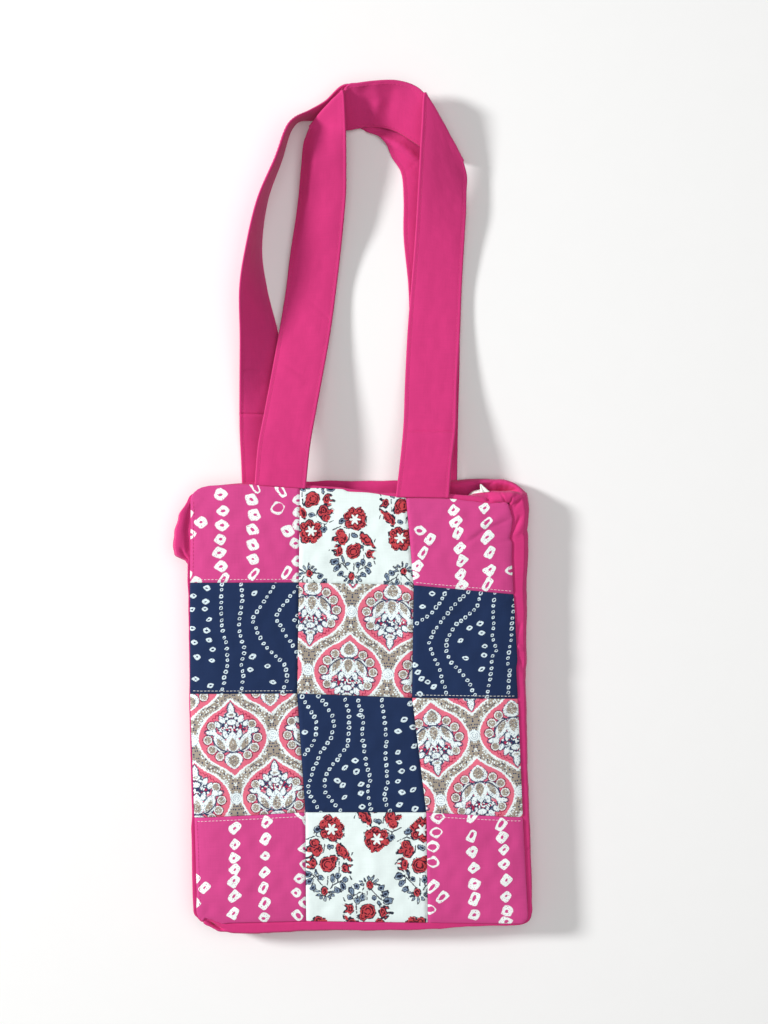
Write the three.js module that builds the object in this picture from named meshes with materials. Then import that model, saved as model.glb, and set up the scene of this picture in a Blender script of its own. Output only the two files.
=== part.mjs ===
import * as THREE from "three";

// Patchwork handbag lying on its back. Millimetres: X across the bag, Y from its base to its straps, Z up.
const CLOTH = 2;
const STRAP_CLOTH = 2.4;
const ZIP_TAPE = 1.4;
const ZIP_WIDTH = 7;
const ZIP_GAP = 0.8;
const SEAM_GAP = 0.4;
const BACK_WIDTH = 302;
const BACK_HEIGHT = 400;
const RIM_HEIGHT = 31;
const CROWN = 5;
const CROWN_RUN = 18;
const SAG = 3;
const COLUMNS = 3;
const ROWS = 4;
const GUSSET_INSET = 1.2;
const GUSSET_TOP = RIM_HEIGHT - CLOTH / 2 - 1;
const GUSSET_FOOT = CLOTH + 1;
const GUSSET_ROWS = 10;
const OUTLINE_STEP = 0.008;
const FOLD_RADIUS = 3.2;
const STEP_LENGTH = 14;
const STRIP_PARTS = 3;
const EDGE_PATCH_STOPS = [0, 0.04, 0.08, 0.13, 0.3, 0.6, 1];
const BACK_STOPS = [0, 0.01, 0.02, 0.035, 0.05, 0.5, 0.95, 0.965, 0.98, 0.99, 1];

// Ends of the patch seams on the front panel: x and y of the left edge, two upright seams and right edge.
const PATCH_SEAMS = [
  { seam: "rim", x: [-152.5, -52.5, 44, 139], y: [198, 195, 186, 183] },
  { seam: "row1_row2", x: [-153.5, -53.5, 51, 142], y: [109, 109.5, 107, 98.5] },
  { seam: "row2_row3", x: [-153.5, -55, 49.5, 145.5], y: [8, 8.5, 4.5, 3.5] },
  { seam: "row3_row4", x: [-149.5, -47.5, 62.5, 150], y: [-105, -99.5, -99.5, -104.5] },
  { seam: "base", x: [-146.5, -47, 64, 155], y: [-201, -198.5, -200, -201] },
];
// Rise of the rim in the middle of each top patch.
const RIM_BOW = [1.7, 0.3, 1.6];
const CORNER_RADIUS = { rim_left: 14, rim_right: 5, base_left: 13, base_right: 8 };
const BACK_CORNER_RADIUS = { rim_left: 14, rim_right: 9, base_left: 14, base_right: 12 };

// How far the gusset swells out at mid height. Stations run 0 to 1 down the left side,
// 1 to 2 along the base and 2 to 3 up the right side.
const GUSSET_SWELL = [
  { station: 0, out: 1 },
  { station: 0.035, out: 7 },
  { station: 0.077, out: 14 },
  { station: 0.119, out: 17 },
  { station: 0.153, out: 18.5 },
  { station: 0.182, out: 16 },
  { station: 0.205, out: 5 },
  { station: 0.24, out: -2 },
  { station: 0.35, out: -7 },
  { station: 0.85, out: -6 },
  { station: 0.96, out: 1 },
  { station: 1.0, out: 8 },
  { station: 1.07, out: 13.5 },
  { station: 1.25, out: 14 },
  { station: 1.45, out: 11.5 },
  { station: 1.65, out: 11 },
  { station: 1.75, out: 9 },
  { station: 1.88, out: 7 },
  { station: 1.97, out: 7 },
  { station: 2.03, out: 9 },
  { station: 2.15, out: 7.3 },
  { station: 2.5, out: 6.5 },
  { station: 2.75, out: 8.5 },
  { station: 2.85, out: 11 },
  { station: 3, out: 11.5 },
];
const LEFT_SEAM_STATION = 0.84;
const RIGHT_SEAM_STATION = 2.16;

// Turned-in strips at the two rims: outer fold and free edge at stations across the bag.
const FRONT_STRIP = [
  { x: -134, fold_y: 198, fold_z: 27.6, edge_y: 179, edge_z: 25.6 },
  { x: -52, fold_y: 197.5, fold_z: 27.6, edge_y: 176, edge_z: 25.4 },
  { x: 44, fold_y: 189.5, fold_z: 27.6, edge_y: 168, edge_z: 25.4 },
  { x: 84, fold_y: 188.5, fold_z: 27.6, edge_y: 168, edge_z: 25.2 },
  { x: 103, fold_y: 187, fold_z: 28, edge_y: 176, edge_z: 24 },
  { x: 110, fold_y: 186.5, fold_z: 28.2, edge_y: 185.5, edge_z: 22.5 },
  { x: 117, fold_y: 185.5, fold_z: 28.2, edge_y: 193.5, edge_z: 21 },
  { x: 134, fold_y: 185, fold_z: 28.2, edge_y: 197, edge_z: 16 },
];
const BACK_STRIP = [
  { x: -134, fold_y: 201.2, fold_z: 3.8, edge_y: 180, edge_z: 3.9 },
  { x: 84, fold_y: 202, fold_z: 3.8, edge_y: 180, edge_z: 3.9 },
  { x: 103, fold_y: 203, fold_z: 5, edge_y: 186, edge_z: 6.5 },
  { x: 117, fold_y: 204, fold_z: 7, edge_y: 195.5, edge_z: 14 },
  { x: 134, fold_y: 204, fold_z: 7, edge_y: 198.5, edge_z: 12.5 },
];
const ZIP_FRONT_SPAN = { from: -132, to: 115 };
const ZIP_BACK_SPAN = { from: -132, to: 100 };
// Loose end of the zip tape, folded to a point.
const TAPE_END = {
  base: [[112.5, 190.5], [119.5, 191.5]],
  tip: [112.5, 196.5],
  base_z: 26,
  tip_z: 24,
  tip_width: 0.15,
};

// Strap edges at stations along each strap, from its left end to its right end.
const STRAP_FRONT_LEFT_LEG = [
  { outer: [-93, 198.5, 31], inner: [-48, 195.4, 31] },
  { outer: [-90, 234, 30.5], inner: [-44, 234, 30.5] },
  { outer: [-85.5, 260, 26], inner: [-39, 264, 26] },
  { outer: [-79, 298, 18], inner: [-32, 304, 18] },
  { outer: [-73, 334, 12], inner: [-26, 340, 12] },
  { outer: [-66, 378, 8.5], inner: [-20.5, 382, 9] },
  { outer: [-62, 412, 8], inner: [-16.5, 415, 12] },
  { outer: [-57.5, 441, 9], inner: [-13.5, 443, 19] },
  { outer: [-54.5, 463, 10.5], inner: [-11.5, 464, 26] },
  { outer: [-51.5, 493, 15], inner: [-11, 494, 35] },
];
const STRAP_FRONT_LEFT_FOLD = { outer: [-48, 522.5, 18], inner: [-17.5, 557, 39], away: [-0.74, 0.67] };
const STRAP_FRONT_BAND = [
  { outer: [-7.5, 528, 8.5], inner: [-4, 562, 36.5] },
  { outer: [13, 530, 8.5], inner: [14, 566, 33] },
  { outer: [34, 526, 9], inner: [34, 566, 30.5] },
  { outer: [60, 510.5, 9], inner: [48, 563, 29.5] },
];
const STRAP_FRONT_RIGHT_FOLD = { outer: [98, 487.5, 12.5], inner: [60, 555, 33], away: [0.87, 0.49] };
const STRAP_FRONT_RIGHT_LEG = [
  { outer: [99, 452, 13], inner: [56.5, 482, 27] },
  { outer: [97, 416, 9.5], inner: [53.5, 428, 14.5] },
  { outer: [95, 378, 7], inner: [50, 383, 8] },
  { outer: [93.5, 339, 8.5], inner: [46.5, 339, 8.5] },
  { outer: [90.5, 290, 15], inner: [44, 290, 15] },
  { outer: [89, 250, 23], inner: [42.5, 252, 23] },
  { outer: [85, 219, 30], inner: [39.5, 221, 30] },
  { outer: [82.5, 186.9, 31], inner: [35.5, 187.5, 31] },
];
const STRAP_BACK = [
  { outer: [-107, 201.8, 2.8], inner: [-61.5, 202.1, 2.8] },
  { outer: [-108.5, 220, 3.5], inner: [-63.5, 221, 1.8] },
  { outer: [-110, 249.5, 8], inner: [-66, 249.5, 1.8] },
  { outer: [-109.5, 285.5, 18], inner: [-69.5, 286.5, 1.8] },
  { outer: [-108.5, 330, 30], inner: [-73.5, 333, 1.6] },
  { outer: [-108, 378, 40], inner: [-85, 379.5, 1.4] },
  { outer: [-102.5, 413.5, 43.5], inner: [-90, 416.5, 1.2] },
  { outer: [-91.5, 456.5, 44.5], inner: [-84.5, 463, 1.2] },
  { outer: [-76, 493, 44.5], inner: [-71.5, 500, 1.2] },
  { outer: [-65.5, 521.5, 44.5], inner: [-62, 529, 1.2] },
  { outer: [-57, 530, 39], inner: [-55, 536.5, 1.2] },
  { outer: [-44, 540, 26], inner: [-44, 537.5, 1.4] },
  { outer: [-29.5, 550, 21.5], inner: [-21, 536.5, 1.6] },
  { outer: [-11.5, 560, 22], inner: [-5, 533.5, 1.8] },
  { outer: [13, 561, 20], inner: [7, 528, 1.8] },
  { outer: [43.5, 558, 17], inner: [23, 521, 1.8] },
  { outer: [66.5, 531, 10], inner: [32, 503, 1.8] },
  { outer: [82.5, 499.5, 4], inner: [40.5, 489, 1.6] },
  { outer: [88, 463, 1.6], inner: [43, 465, 1.6] },
  { outer: [88, 426, 1.6], inner: [43, 430, 1.6] },
  { outer: [92.5, 379.5, 1.6], inner: [47.5, 381.5, 1.6] },
  { outer: [93.5, 324, 1.6], inner: [48.5, 324, 1.6] },
  { outer: [92, 259, 1.6], inner: [47, 259, 1.6] },
  { outer: [91, 202.9, 2.8], inner: [46, 202.5, 2.8] },
];

const MAGENTA = 0xd6357c;
const ZIP_WHITE = 0xf2f2ee;
const CLOTH_ROUGHNESS = 0.85;
const ZIP_ROUGHNESS = 0.6;
const PRINTS = {
  pink: 0xe0569f,
  floral: 0xeaf3ee,
  navy: 0x2a3b63,
  ogee: 0xc98a8c,
};
const PATCH_PRINTS = [
  ["pink", "floral", "pink"],
  ["navy", "ogee", "navy"],
  ["ogee", "navy", "ogee"],
  ["pink", "floral", "pink"],
];
const SIDES = ["left", "middle", "right"];

function mix(a, b, t) {
  return a + (b - a) * t;
}

// Value of a named column at a station, eased between the rows of a table.
function column(table, key, by, at) {
  let k = 0;
  while (k < table.length - 2 && table[k + 1][by] <= at) {
    k += 1;
  }
  const span = table[k + 1][by] - table[k][by];
  const t = THREE.MathUtils.clamp((at - table[k][by]) / span, 0, 1);
  return mix(table[k][key], table[k + 1][key], t * t * (3 - 2 * t));
}

function evenStops(count, from = 0, to = 1) {
  return Array.from({ length: count + 1 }, (_, i) => mix(from, to, i / count));
}

// Closed slab of even thickness about a middle surface, sampled at two lists of stops.
function slab(us, vs, thickness, pointAt) {
  const middle = us.map((u) => vs.map((v) => pointAt(u, v)));
  const last = { u: us.length - 1, v: vs.length - 1 };
  const positions = [];
  const offsets = [thickness / 2, -thickness / 2];
  for (const offset of offsets) {
    for (let i = 0; i <= last.u; i += 1) {
      for (let j = 0; j <= last.v; j += 1) {
        const alongU = middle[Math.min(i + 1, last.u)][j].clone().sub(middle[Math.max(i - 1, 0)][j]);
        const alongV = middle[i][Math.min(j + 1, last.v)].clone().sub(middle[i][Math.max(j - 1, 0)]);
        const normal = alongU.cross(alongV).normalize();
        const p = middle[i][j].clone().addScaledVector(normal, offset);
        positions.push(p.x, p.y, p.z);
      }
    }
  }
  const side = us.length * vs.length;
  const top = (i, j) => i * vs.length + j;
  const bottom = (i, j) => side + top(i, j);
  const faces = [];
  const quad = (a, b, c, d) => faces.push(a, b, c, a, c, d);
  for (let i = 0; i < last.u; i += 1) {
    for (let j = 0; j < last.v; j += 1) {
      quad(top(i, j), top(i + 1, j), top(i + 1, j + 1), top(i, j + 1));
      quad(bottom(i, j), bottom(i, j + 1), bottom(i + 1, j + 1), bottom(i + 1, j));
    }
    quad(top(i, 0), bottom(i, 0), bottom(i + 1, 0), top(i + 1, 0));
    quad(top(i, last.v), top(i + 1, last.v), bottom(i + 1, last.v), bottom(i, last.v));
  }
  for (let j = 0; j < last.v; j += 1) {
    quad(top(0, j), top(0, j + 1), bottom(0, j + 1), bottom(0, j));
    quad(top(last.u, j), bottom(last.u, j), bottom(last.u, j + 1), top(last.u, j + 1));
  }
  const geometry = new THREE.BufferGeometry();
  geometry.setAttribute("position", new THREE.Float32BufferAttribute(positions, 3));
  geometry.setIndex(faces);
  geometry.computeVertexNormals();
  return geometry;
}

const bag = new THREE.Group();
bag.name = "patchwork_handbag";

function piece(name, geometry, colour, roughness = CLOTH_ROUGHNESS) {
  const material = new THREE.MeshStandardMaterial({ color: colour, roughness, metalness: 0 });
  const mesh = new THREE.Mesh(geometry, material);
  mesh.name = name;
  bag.add(mesh);
}

// Turns the square corner of a panel into an arc. Distances are from the panel's two edges.
function roundCorner(fromSide, fromEnd, radius) {
  if (fromSide >= radius || fromEnd >= radius) {
    return [0, 0];
  }
  const dx = radius - fromSide;
  const dy = radius - fromEnd;
  const share = 1 - Math.max(dx, dy) / Math.hypot(dx, dy, 1e-9);
  return [dx * share, dy * share];
}

function cornerName(u, v) {
  return (v < 0.5 ? "rim_" : "base_") + (u < 0.5 ? "left" : "right");
}

// Middle surface of the front panel, u from left to right and v from rim to base.
function frontPoint(u, v) {
  const col = Math.min(COLUMNS - 1, Math.floor(u * COLUMNS));
  const row = Math.min(ROWS - 1, Math.floor(v * ROWS));
  const a = u * COLUMNS - col;
  const b = v * ROWS - row;
  const upper = PATCH_SEAMS[row];
  const lower = PATCH_SEAMS[row + 1];
  let x = mix(mix(upper.x[col], upper.x[col + 1], a), mix(lower.x[col], lower.x[col + 1], a), b);
  let y = mix(mix(upper.y[col], upper.y[col + 1], a), mix(lower.y[col], lower.y[col + 1], a), b);
  if (row === 0) {
    y += RIM_BOW[col] * Math.sin(Math.PI * a) * (1 - b);
  }
  const toSide = Math.min(u, 1 - u) * BACK_WIDTH;
  const toEnd = Math.min(v, 1 - v) * BACK_HEIGHT;
  const [inX, inY] = roundCorner(toSide, toEnd, CORNER_RADIUS[cornerName(u, v)]);
  x += u < 0.5 ? inX : -inX;
  y += v < 0.5 ? -inY : inY;
  const rise = (1 - Math.exp(-toSide / CROWN_RUN)) * (1 - Math.exp(-toEnd / CROWN_RUN));
  const dip = Math.sin(Math.PI * u) * Math.sin(Math.PI * v);
  return new THREE.Vector3(x, y, RIM_HEIGHT + CROWN * rise - SAG * dip);
}

function backPoint(u, v) {
  const toSide = Math.min(u, 1 - u) * BACK_WIDTH;
  const toEnd = Math.min(v, 1 - v) * BACK_HEIGHT;
  const [inX, inY] = roundCorner(toSide, toEnd, BACK_CORNER_RADIUS[cornerName(u, v)]);
  const x = (u - 0.5) * BACK_WIDTH + (u < 0.5 ? inX : -inX);
  const y = (0.5 - v) * BACK_HEIGHT + (v < 0.5 ? -inY : inY);
  return new THREE.Vector3(x, y, CLOTH / 2);
}

// Stops across one patch, closer together towards the panel's own edge.
function patchStops(index, count) {
  if (index === 0) {
    return EDGE_PATCH_STOPS;
  }
  if (index === count - 1) {
    return EDGE_PATCH_STOPS.map((t) => 1 - t).reverse();
  }
  return evenStops(5);
}

for (let row = 0; row < ROWS; row += 1) {
  for (let col = 0; col < COLUMNS; col += 1) {
    const insetU = (SEAM_GAP * COLUMNS) / (2 * BACK_WIDTH);
    const insetV = (SEAM_GAP * ROWS) / (2 * BACK_HEIGHT);
    const geometry = slab(patchStops(row, ROWS), patchStops(col, COLUMNS), CLOTH, (b, a) =>
      frontPoint(
        (col + mix(col ? insetU : 0, col < COLUMNS - 1 ? 1 - insetU : 1, a)) / COLUMNS,
        (row + mix(row ? insetV : 0, row < ROWS - 1 ? 1 - insetV : 1, b)) / ROWS,
      ),
    );
    piece(`patch_row${row + 1}_${SIDES[col]}`, geometry, PRINTS[PATCH_PRINTS[row][col]]);
  }
}

piece("back_panel", slab(BACK_STOPS, BACK_STOPS, CLOTH, (v, u) => backPoint(u, v)), MAGENTA);

// Point on a panel's outline at a station.
function outline(panelPoint, station) {
  const s = THREE.MathUtils.clamp(station, 0, 3);
  const u = THREE.MathUtils.clamp(s - 1, 0, 1);
  const v = s <= 1 ? s : THREE.MathUtils.clamp(3 - s, 0, 1);
  return panelPoint(u, v);
}

// Middle surface of the gusset, t from the front panel to the back panel.
function gussetPoint(station, t) {
  const front = outline(frontPoint, station);
  const back = outline(backPoint, station);
  const between = (at) => outline(backPoint, at).add(outline(frontPoint, at));
  const ahead = between(station + OUTLINE_STEP);
  const along = ahead.sub(between(station - OUTLINE_STEP)).setZ(0).normalize();
  const swell = column(GUSSET_SWELL, "out", "station", station) * Math.sin(Math.PI * t) ** 2;
  const point = front.lerp(back, t);
  point.x += along.y * (swell - GUSSET_INSET);
  point.y -= along.x * (swell - GUSSET_INSET);
  point.z = mix(GUSSET_TOP, GUSSET_FOOT, t);
  return point;
}

function gusset(name, stations) {
  piece(name, slab(stations, evenStops(GUSSET_ROWS), CLOTH, gussetPoint), MAGENTA);
}

const seamStep = SEAM_GAP / BACK_HEIGHT;
gusset("gusset_left", [
  ...evenStops(2, 0, 0.04),
  ...evenStops(16, 0.06, 0.3),
  ...evenStops(6, 0.38, LEFT_SEAM_STATION),
]);
gusset("gusset_bottom", [
  LEFT_SEAM_STATION + seamStep,
  ...evenStops(3, 0.88, 0.965),
  ...evenStops(8, 0.975, 1.05),
  ...evenStops(10, 1.1, 1.94),
  ...evenStops(8, 1.96, 2.035),
  ...evenStops(3, 2.06, RIGHT_SEAM_STATION - seamStep),
]);
gusset("gusset_right", [...evenStops(10, RIGHT_SEAM_STATION, 2.8), ...evenStops(4, 2.84, 2.995)]);

// Rim strip between its outer fold and its free edge, t from fold to edge and beyond.
function stripPoint(table, x, t) {
  const at = (key) => column(table, key, "x", x);
  return new THREE.Vector3(x, mix(at("fold_y"), at("edge_y"), t), mix(at("fold_z"), at("edge_z"), t));
}

function tableStops(table, from, to, parts) {
  const inner = table.map((row) => row.x).filter((x) => x > from && x < to);
  const marks = [from, ...inner, to];
  return marks.slice(1).flatMap((x, i) => evenStops(parts, marks[i], x).slice(i ? 1 : 0));
}

function strip(name, table) {
  const xs = tableStops(table, table[0].x, table.at(-1).x, STRIP_PARTS);
  piece(name, slab(xs, evenStops(STRIP_PARTS), CLOTH, (x, t) => stripPoint(table, x, t)), MAGENTA);
}

strip("top_strip_front", FRONT_STRIP);
strip("top_strip_back", BACK_STRIP);

function zip(name, table, span) {
  const xs = tableStops(table, span.from, span.to, STRIP_PARTS);
  const geometry = slab(xs, [0, 1], ZIP_TAPE, (x, t) => {
    const fold = stripPoint(table, x, 0);
    const edge = stripPoint(table, x, 1);
    const onward = edge.clone().sub(fold).normalize();
    return edge.addScaledVector(onward, ZIP_GAP + t * ZIP_WIDTH);
  });
  piece(name, geometry, ZIP_WHITE, ZIP_ROUGHNESS);
}

zip("zip_front", FRONT_STRIP, ZIP_FRONT_SPAN);
zip("zip_back", BACK_STRIP, ZIP_BACK_SPAN);

// Half a turn of a strap about a slanted crease, between the two given angles.
function foldRows(fold, from, to) {
  const outer = new THREE.Vector3(...fold.outer);
  const inner = new THREE.Vector3(...fold.inner);
  const away = new THREE.Vector3(...fold.away, 0).normalize();
  const up = inner.clone().sub(outer).cross(away).normalize();
  up.multiplyScalar(Math.sign(up.z));
  return evenStops(4, from, to).map((turn) => {
    const shift = away.clone().multiplyScalar(FOLD_RADIUS * Math.sin(turn));
    shift.addScaledVector(up, FOLD_RADIUS * Math.cos(turn));
    return { outer: outer.clone().add(shift).toArray(), inner: inner.clone().add(shift).toArray() };
  });
}

function strap(name, rows) {
  const edge = (key) => {
    const points = rows.map((row) => new THREE.Vector3(...row[key]));
    return new THREE.CatmullRomCurve3(points, false, "centripetal");
  };
  const outer = edge("outer");
  const inner = edge("inner");
  const spans = rows.length - 1;
  const stops = [0];
  for (let k = 0; k < spans; k += 1) {
    const length = outer.points[k].distanceTo(outer.points[k + 1]);
    const parts = Math.max(1, Math.round(length / STEP_LENGTH));
    stops.push(...evenStops(parts, k / spans, (k + 1) / spans).slice(1));
  }
  const across = (s, t) => outer.getPoint(s).lerp(inner.getPoint(s), t);
  piece(name, slab(stops, evenStops(2), STRAP_CLOTH, across), MAGENTA);
}

strap("strap_front", [
  ...STRAP_FRONT_LEFT_LEG,
  ...foldRows(STRAP_FRONT_LEFT_FOLD, 0, Math.PI),
  ...STRAP_FRONT_BAND,
  ...foldRows(STRAP_FRONT_RIGHT_FOLD, Math.PI, 0),
  ...STRAP_FRONT_RIGHT_LEG,
]);
strap("strap_back", STRAP_BACK);

const tapeEnd = slab([0, 1], [0, 1], ZIP_TAPE, (s, t) => {
  const [near, far] = TAPE_END.base;
  const wide = s * mix(1, TAPE_END.tip_width, t);
  const x = mix(mix(near[0], far[0], wide), mix(TAPE_END.tip[0], far[0], wide), t);
  const y = mix(mix(near[1], far[1], wide), mix(TAPE_END.tip[1], far[1], wide), t);
  return new THREE.Vector3(x, y, mix(TAPE_END.base_z, TAPE_END.tip_z, t));
});
piece("zip_tape_end", tapeEnd, ZIP_WHITE, ZIP_ROUGHNESS);

export default bag;
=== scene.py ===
"""Patchwork handbag lying on its back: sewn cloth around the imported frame. Tables are in millimetres."""

import math

import bpy
import numpy as np
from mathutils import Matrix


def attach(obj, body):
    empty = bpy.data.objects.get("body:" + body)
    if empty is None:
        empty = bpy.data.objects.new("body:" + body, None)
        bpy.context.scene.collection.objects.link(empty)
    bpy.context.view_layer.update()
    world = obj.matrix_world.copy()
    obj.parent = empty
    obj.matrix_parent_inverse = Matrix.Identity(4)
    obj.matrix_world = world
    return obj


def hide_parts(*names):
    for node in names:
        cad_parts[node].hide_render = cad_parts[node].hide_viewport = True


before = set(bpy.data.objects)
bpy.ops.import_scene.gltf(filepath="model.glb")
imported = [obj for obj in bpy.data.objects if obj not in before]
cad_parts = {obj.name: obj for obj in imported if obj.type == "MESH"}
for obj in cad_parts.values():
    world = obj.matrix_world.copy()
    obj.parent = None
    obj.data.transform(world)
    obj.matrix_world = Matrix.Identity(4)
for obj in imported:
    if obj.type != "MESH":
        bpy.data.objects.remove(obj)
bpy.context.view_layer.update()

METRE = 1000.0
# View: straight down on the floor, with the picture's pixels as chart units for prints and folds.
VIEW_HEIGHT = 1500.0
VIEW_FOOT = (24.0, 173.5)
PICTURE_CENTRE = (384.0, 512.0)
CHART_UNIT = 0.909
CHART_LEVEL = 33.0
HALF_PICTURE = 512.0

# Panel sizes.
COLUMNS, ROWS = 3, 4
BACK_WIDTH, BACK_HEIGHT = 302.0, 400.0
PATCH_WIDTH, PATCH_HEIGHT = BACK_WIDTH / COLUMNS, BACK_HEIGHT / ROWS
RIM_HEIGHT, CROWN, CROWN_RUN, SAG = 31.0, 5.0, 28.0, 3.0
SEAM_X = np.array([
    [-152.5, -52.5, 44, 139],
    [-153.5, -53.5, 51, 142],
    [-153.5, -55, 49.5, 145.5],
    [-149.5, -47.5, 62.5, 150],
    [-146.5, -47, 64, 155],
])
SEAM_Y = np.array([
    [198, 195, 186, 183],
    [109, 109.5, 107, 98.5],
    [8, 8.5, 4.5, 3.5],
    [-105, -99.5, -99.5, -104.5],
    [-201, -198.5, -200, -201],
])
RIM_BOW = np.array([1.7, 0.3, 1.6])
# Corner radii: rim left, rim right, base left, base right.
FRONT_CORNERS = np.array([19.0, 5.0, 13.0, 8.0])
BACK_CORNERS = np.array([19.0, 9.0, 14.0, 12.0])
# Unevenness of the panel's edges: share along the right edge, the rim or the base, and shift.
RIGHT_EDGE = np.array([
    (0, -1.2), (0.01, -1.8), (0.028, -0.4), (0.047, 0.9), (0.071, -0.2), (0.098, -2.1), (0.112, -0.3),
    (0.157, -1.0), (0.245, -0.4), (0.32, 0.2), (0.405, 0.8), (0.43, -0.5), (0.52, 0), (1, 0),
])
RIM_EDGE = np.array([
    (0, 0), (0.05, -1.4), (0.1, -0.9), (0.18, 0), (0.333, 0), (0.41, 1.5), (0.466, 2.1), (0.486, 0.5),
    (0.55, 1.2), (0.63, 0), (0.74, 0), (0.807, -1.1), (0.871, -2.5), (0.913, -3.4), (0.935, -3.6),
    (0.967, -2.2), (0.983, -1.3), (1, -0.8),
])
BASE_EDGE = np.array([
    (0, 0), (0.012, 0.3), (0.026, 4.2), (0.045, 3.6), (0.062, 1.2), (0.08, -0.6), (0.1, 0), (1, 0),
])
EDGE_FADE = 6.0
BACK_LEVEL, BACK_DROP, BACK_DROP_RUN = 1.0, 3.5, 50.0
COLUMN_NAMES = ("left", "middle", "right")

# Cloth: thicknesses, sizes of mesh, seams and unevenness.
PATCH_CLOTH, PLAIN_CLOTH, STRIP_CLOTH, STRAP_CLOTH, ZIP_TAPE = 1.3, 1.2, 1.8, 1.9, 0.7
HEM_SHARE = 0.45
PATCH_STEP, BACK_STEP, GUSSET_STEP, STRAP_STEP, ZIP_STEP = 1.25, 5.0, 1.4, 1.1, 1.5
STRIP_STEPS, MOUTH_STEPS = (2.0, 1.3), (6, 10)
SEAM_INSET, SEAM_DIP, SEAM_RUN = 0.5, 1.1, 1.7
EDGE_ROLL, EDGE_RUN = 0.7, 2.2
LEFT_TURN, LEFT_TURN_RUN, LEFT_TURN_FADE = 1.3, 9.0, 30.0
EDGE_STOPS = (0, 0.35, 0.8, 1.4, 2.2, 3.2)
RIPPLE_WAVES, RIPPLE_RATES, RIPPLE_PEAK = 7, (0.6, 1.5), 2.6
# Ripples: height, size and seed. A strip has its own seed.
PANEL_RIPPLES, CALM_RUN = ((0.45, 60, 3), (0.2, 21, 4)), 12.0
PUCKER_RIPPLE, PUCKER_IN = (0.12, 6, 5), 3.0
BACK_RIPPLE, BACK_LIFT = (0.1, 50, 8), 0.15
GUSSET_RIPPLE, GUSSET_GRAIN = (0.3, 38, 21), (0.08, 12, 22)
MOUTH_RIPPLE = (0.25, 7, 51)
STRIP_RIPPLE, STRIP_WAVER = (0.35, 24), (0.3, 30)
STRAP_RIPPLES = ((0.35, 70, 41), (0.1, 14, 42))

# Gusset: swell at mid height by station, 0 to 1 down the left side, to 2 along the base, to 3 up the right.
GUSSET_SWELL = np.array([
    (0, 0), (0.035, 4.5), (0.077, 12), (0.119, 15.8), (0.15, 17), (0.17, 15.5), (0.186, 5), (0.205, -2.5),
    (0.35, -7), (0.85, -6), (0.96, -1.5), (1.0, 2.5), (1.05, 7.6), (1.08, 10.4), (1.12, 12.5),
    (1.18, 12.9), (1.27, 12), (1.34, 10.6), (1.42, 10), (1.48, 10.4), (1.56, 10.2), (1.65, 9),
    (1.72, 7.9), (1.77, 6.6), (1.84, 5.2), (1.91, 4.8), (1.97, 3.8), (2.03, 7.5), (2.15, 7.3), (2.5, 6.5),
    (2.75, 8.5), (2.85, 11), (3, 11.5),
])
# Edge of the gusset that shows beyond the panel's left edge: station, width.
LEFT_LIP = np.array([
    (0, 0), (0.165, 0), (0.18, 2.8), (0.24, 2.8), (0.28, 1.7), (0.36, 1.4), (0.42, 0.8), (0.47, 0.8),
    (0.53, 1.3), (0.74, 1.6), (0.78, 2.8), (0.93, 3.2), (0.975, 2.2), (1.0, 0), (3, 0),
])
# Section of the gusset from the front seam to the back seam: share, outward share of the swell, height.
GUSSET_SECTION = np.array([
    (0, 0, 28.2), (0.1, 0.35, 29.0), (0.3, 0.85, 28.4), (0.45, 1, 24.5), (0.6, 0.97, 16), (0.8, 0.6, 8),
    (1, 0, 3),
])
GUSSET_INSET, GUSSET_WIDTH, GUSSET_ROWS, GUSSET_CROWDING = 1.2, 45.0, 39, 1.15
LEFT_SEAM, RIGHT_SEAM, SEAM_STATIONS, MOUTH_STATION, OUTLINE_STEP = 0.84, 2.16, 0.0012, 2.985, 0.008
# Stations of the turned left side and of the puff at its top: start, its run, end, its run.
LEFT_SPAN, PUFF_SPAN = (0.02, 0.05, 1.0, 0.04), (0.02, 0.05, 0.2, 0.03)
# Places in the section of the turn, the lip, the puff with its valley, and the folds.
LEFT_TURN_SHARE, LIP_AT, LIP_HALF = 0.12, 0.16, 0.14
PUFF_TOP, PUFF_AT, PUFF_HALF, PUFF_VALLEY, VALLEY_AT = 1.2, 0.3, 0.14, 1.0, 0.045
FOLD_START, FOLD_RUN = -0.1, 0.72
RIPPLE_SPAN, GRAIN_SPAN = 40.0, 60.0

# Rim strips: x, fold y, fold z, edge y, edge z.
FRONT_STRIP = np.array([
    (-134, 198, 27.6, 179, 25.6), (-52, 197.5, 27.6, 176, 25.4), (44, 189.5, 27.6, 168, 25.4),
    (80, 189.2, 28.2, 172, 25), (93, 188.4, 28.4, 181.5, 23.5), (99, 187.9, 28.4, 186.3, 22),
    (103, 187.5, 28.4, 188.2, 21.5), (107, 187, 28.5, 189.5, 21.4), (112, 186.3, 28.5, 190.4, 22.5),
    (120, 185.2, 28.2, 191.5, 25), (134, 184.5, 27, 190, 24),
])
BACK_STRIP = np.array([
    (-134, 201.2, 3.8, 180, 3.9), (84, 202, 3.8, 180, 3.9), (103, 203, 5, 186, 6.5),
    (117, 203.5, 7, 195, 8), (134, 203, 7, 196, 6),
])
# Rise of the rounded back rim: x, height.
BACK_CREST = np.array([(-134, 0.8), (60, 1.2), (84, 4.5), (103, 6.5), (115, 7.6), (122, 7.4), (134, 5.5)])
FRONT_TUCK, BACK_TUCK, TUCK_RUN = 2.2, 4.5, 45.0
STRIP_WIDTH, STRIP_ROLL, ROLL_RISE, ROLL_STEPS, CREST_AT = 20.0, 5.0, 1.6, 9, 0.2
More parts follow.
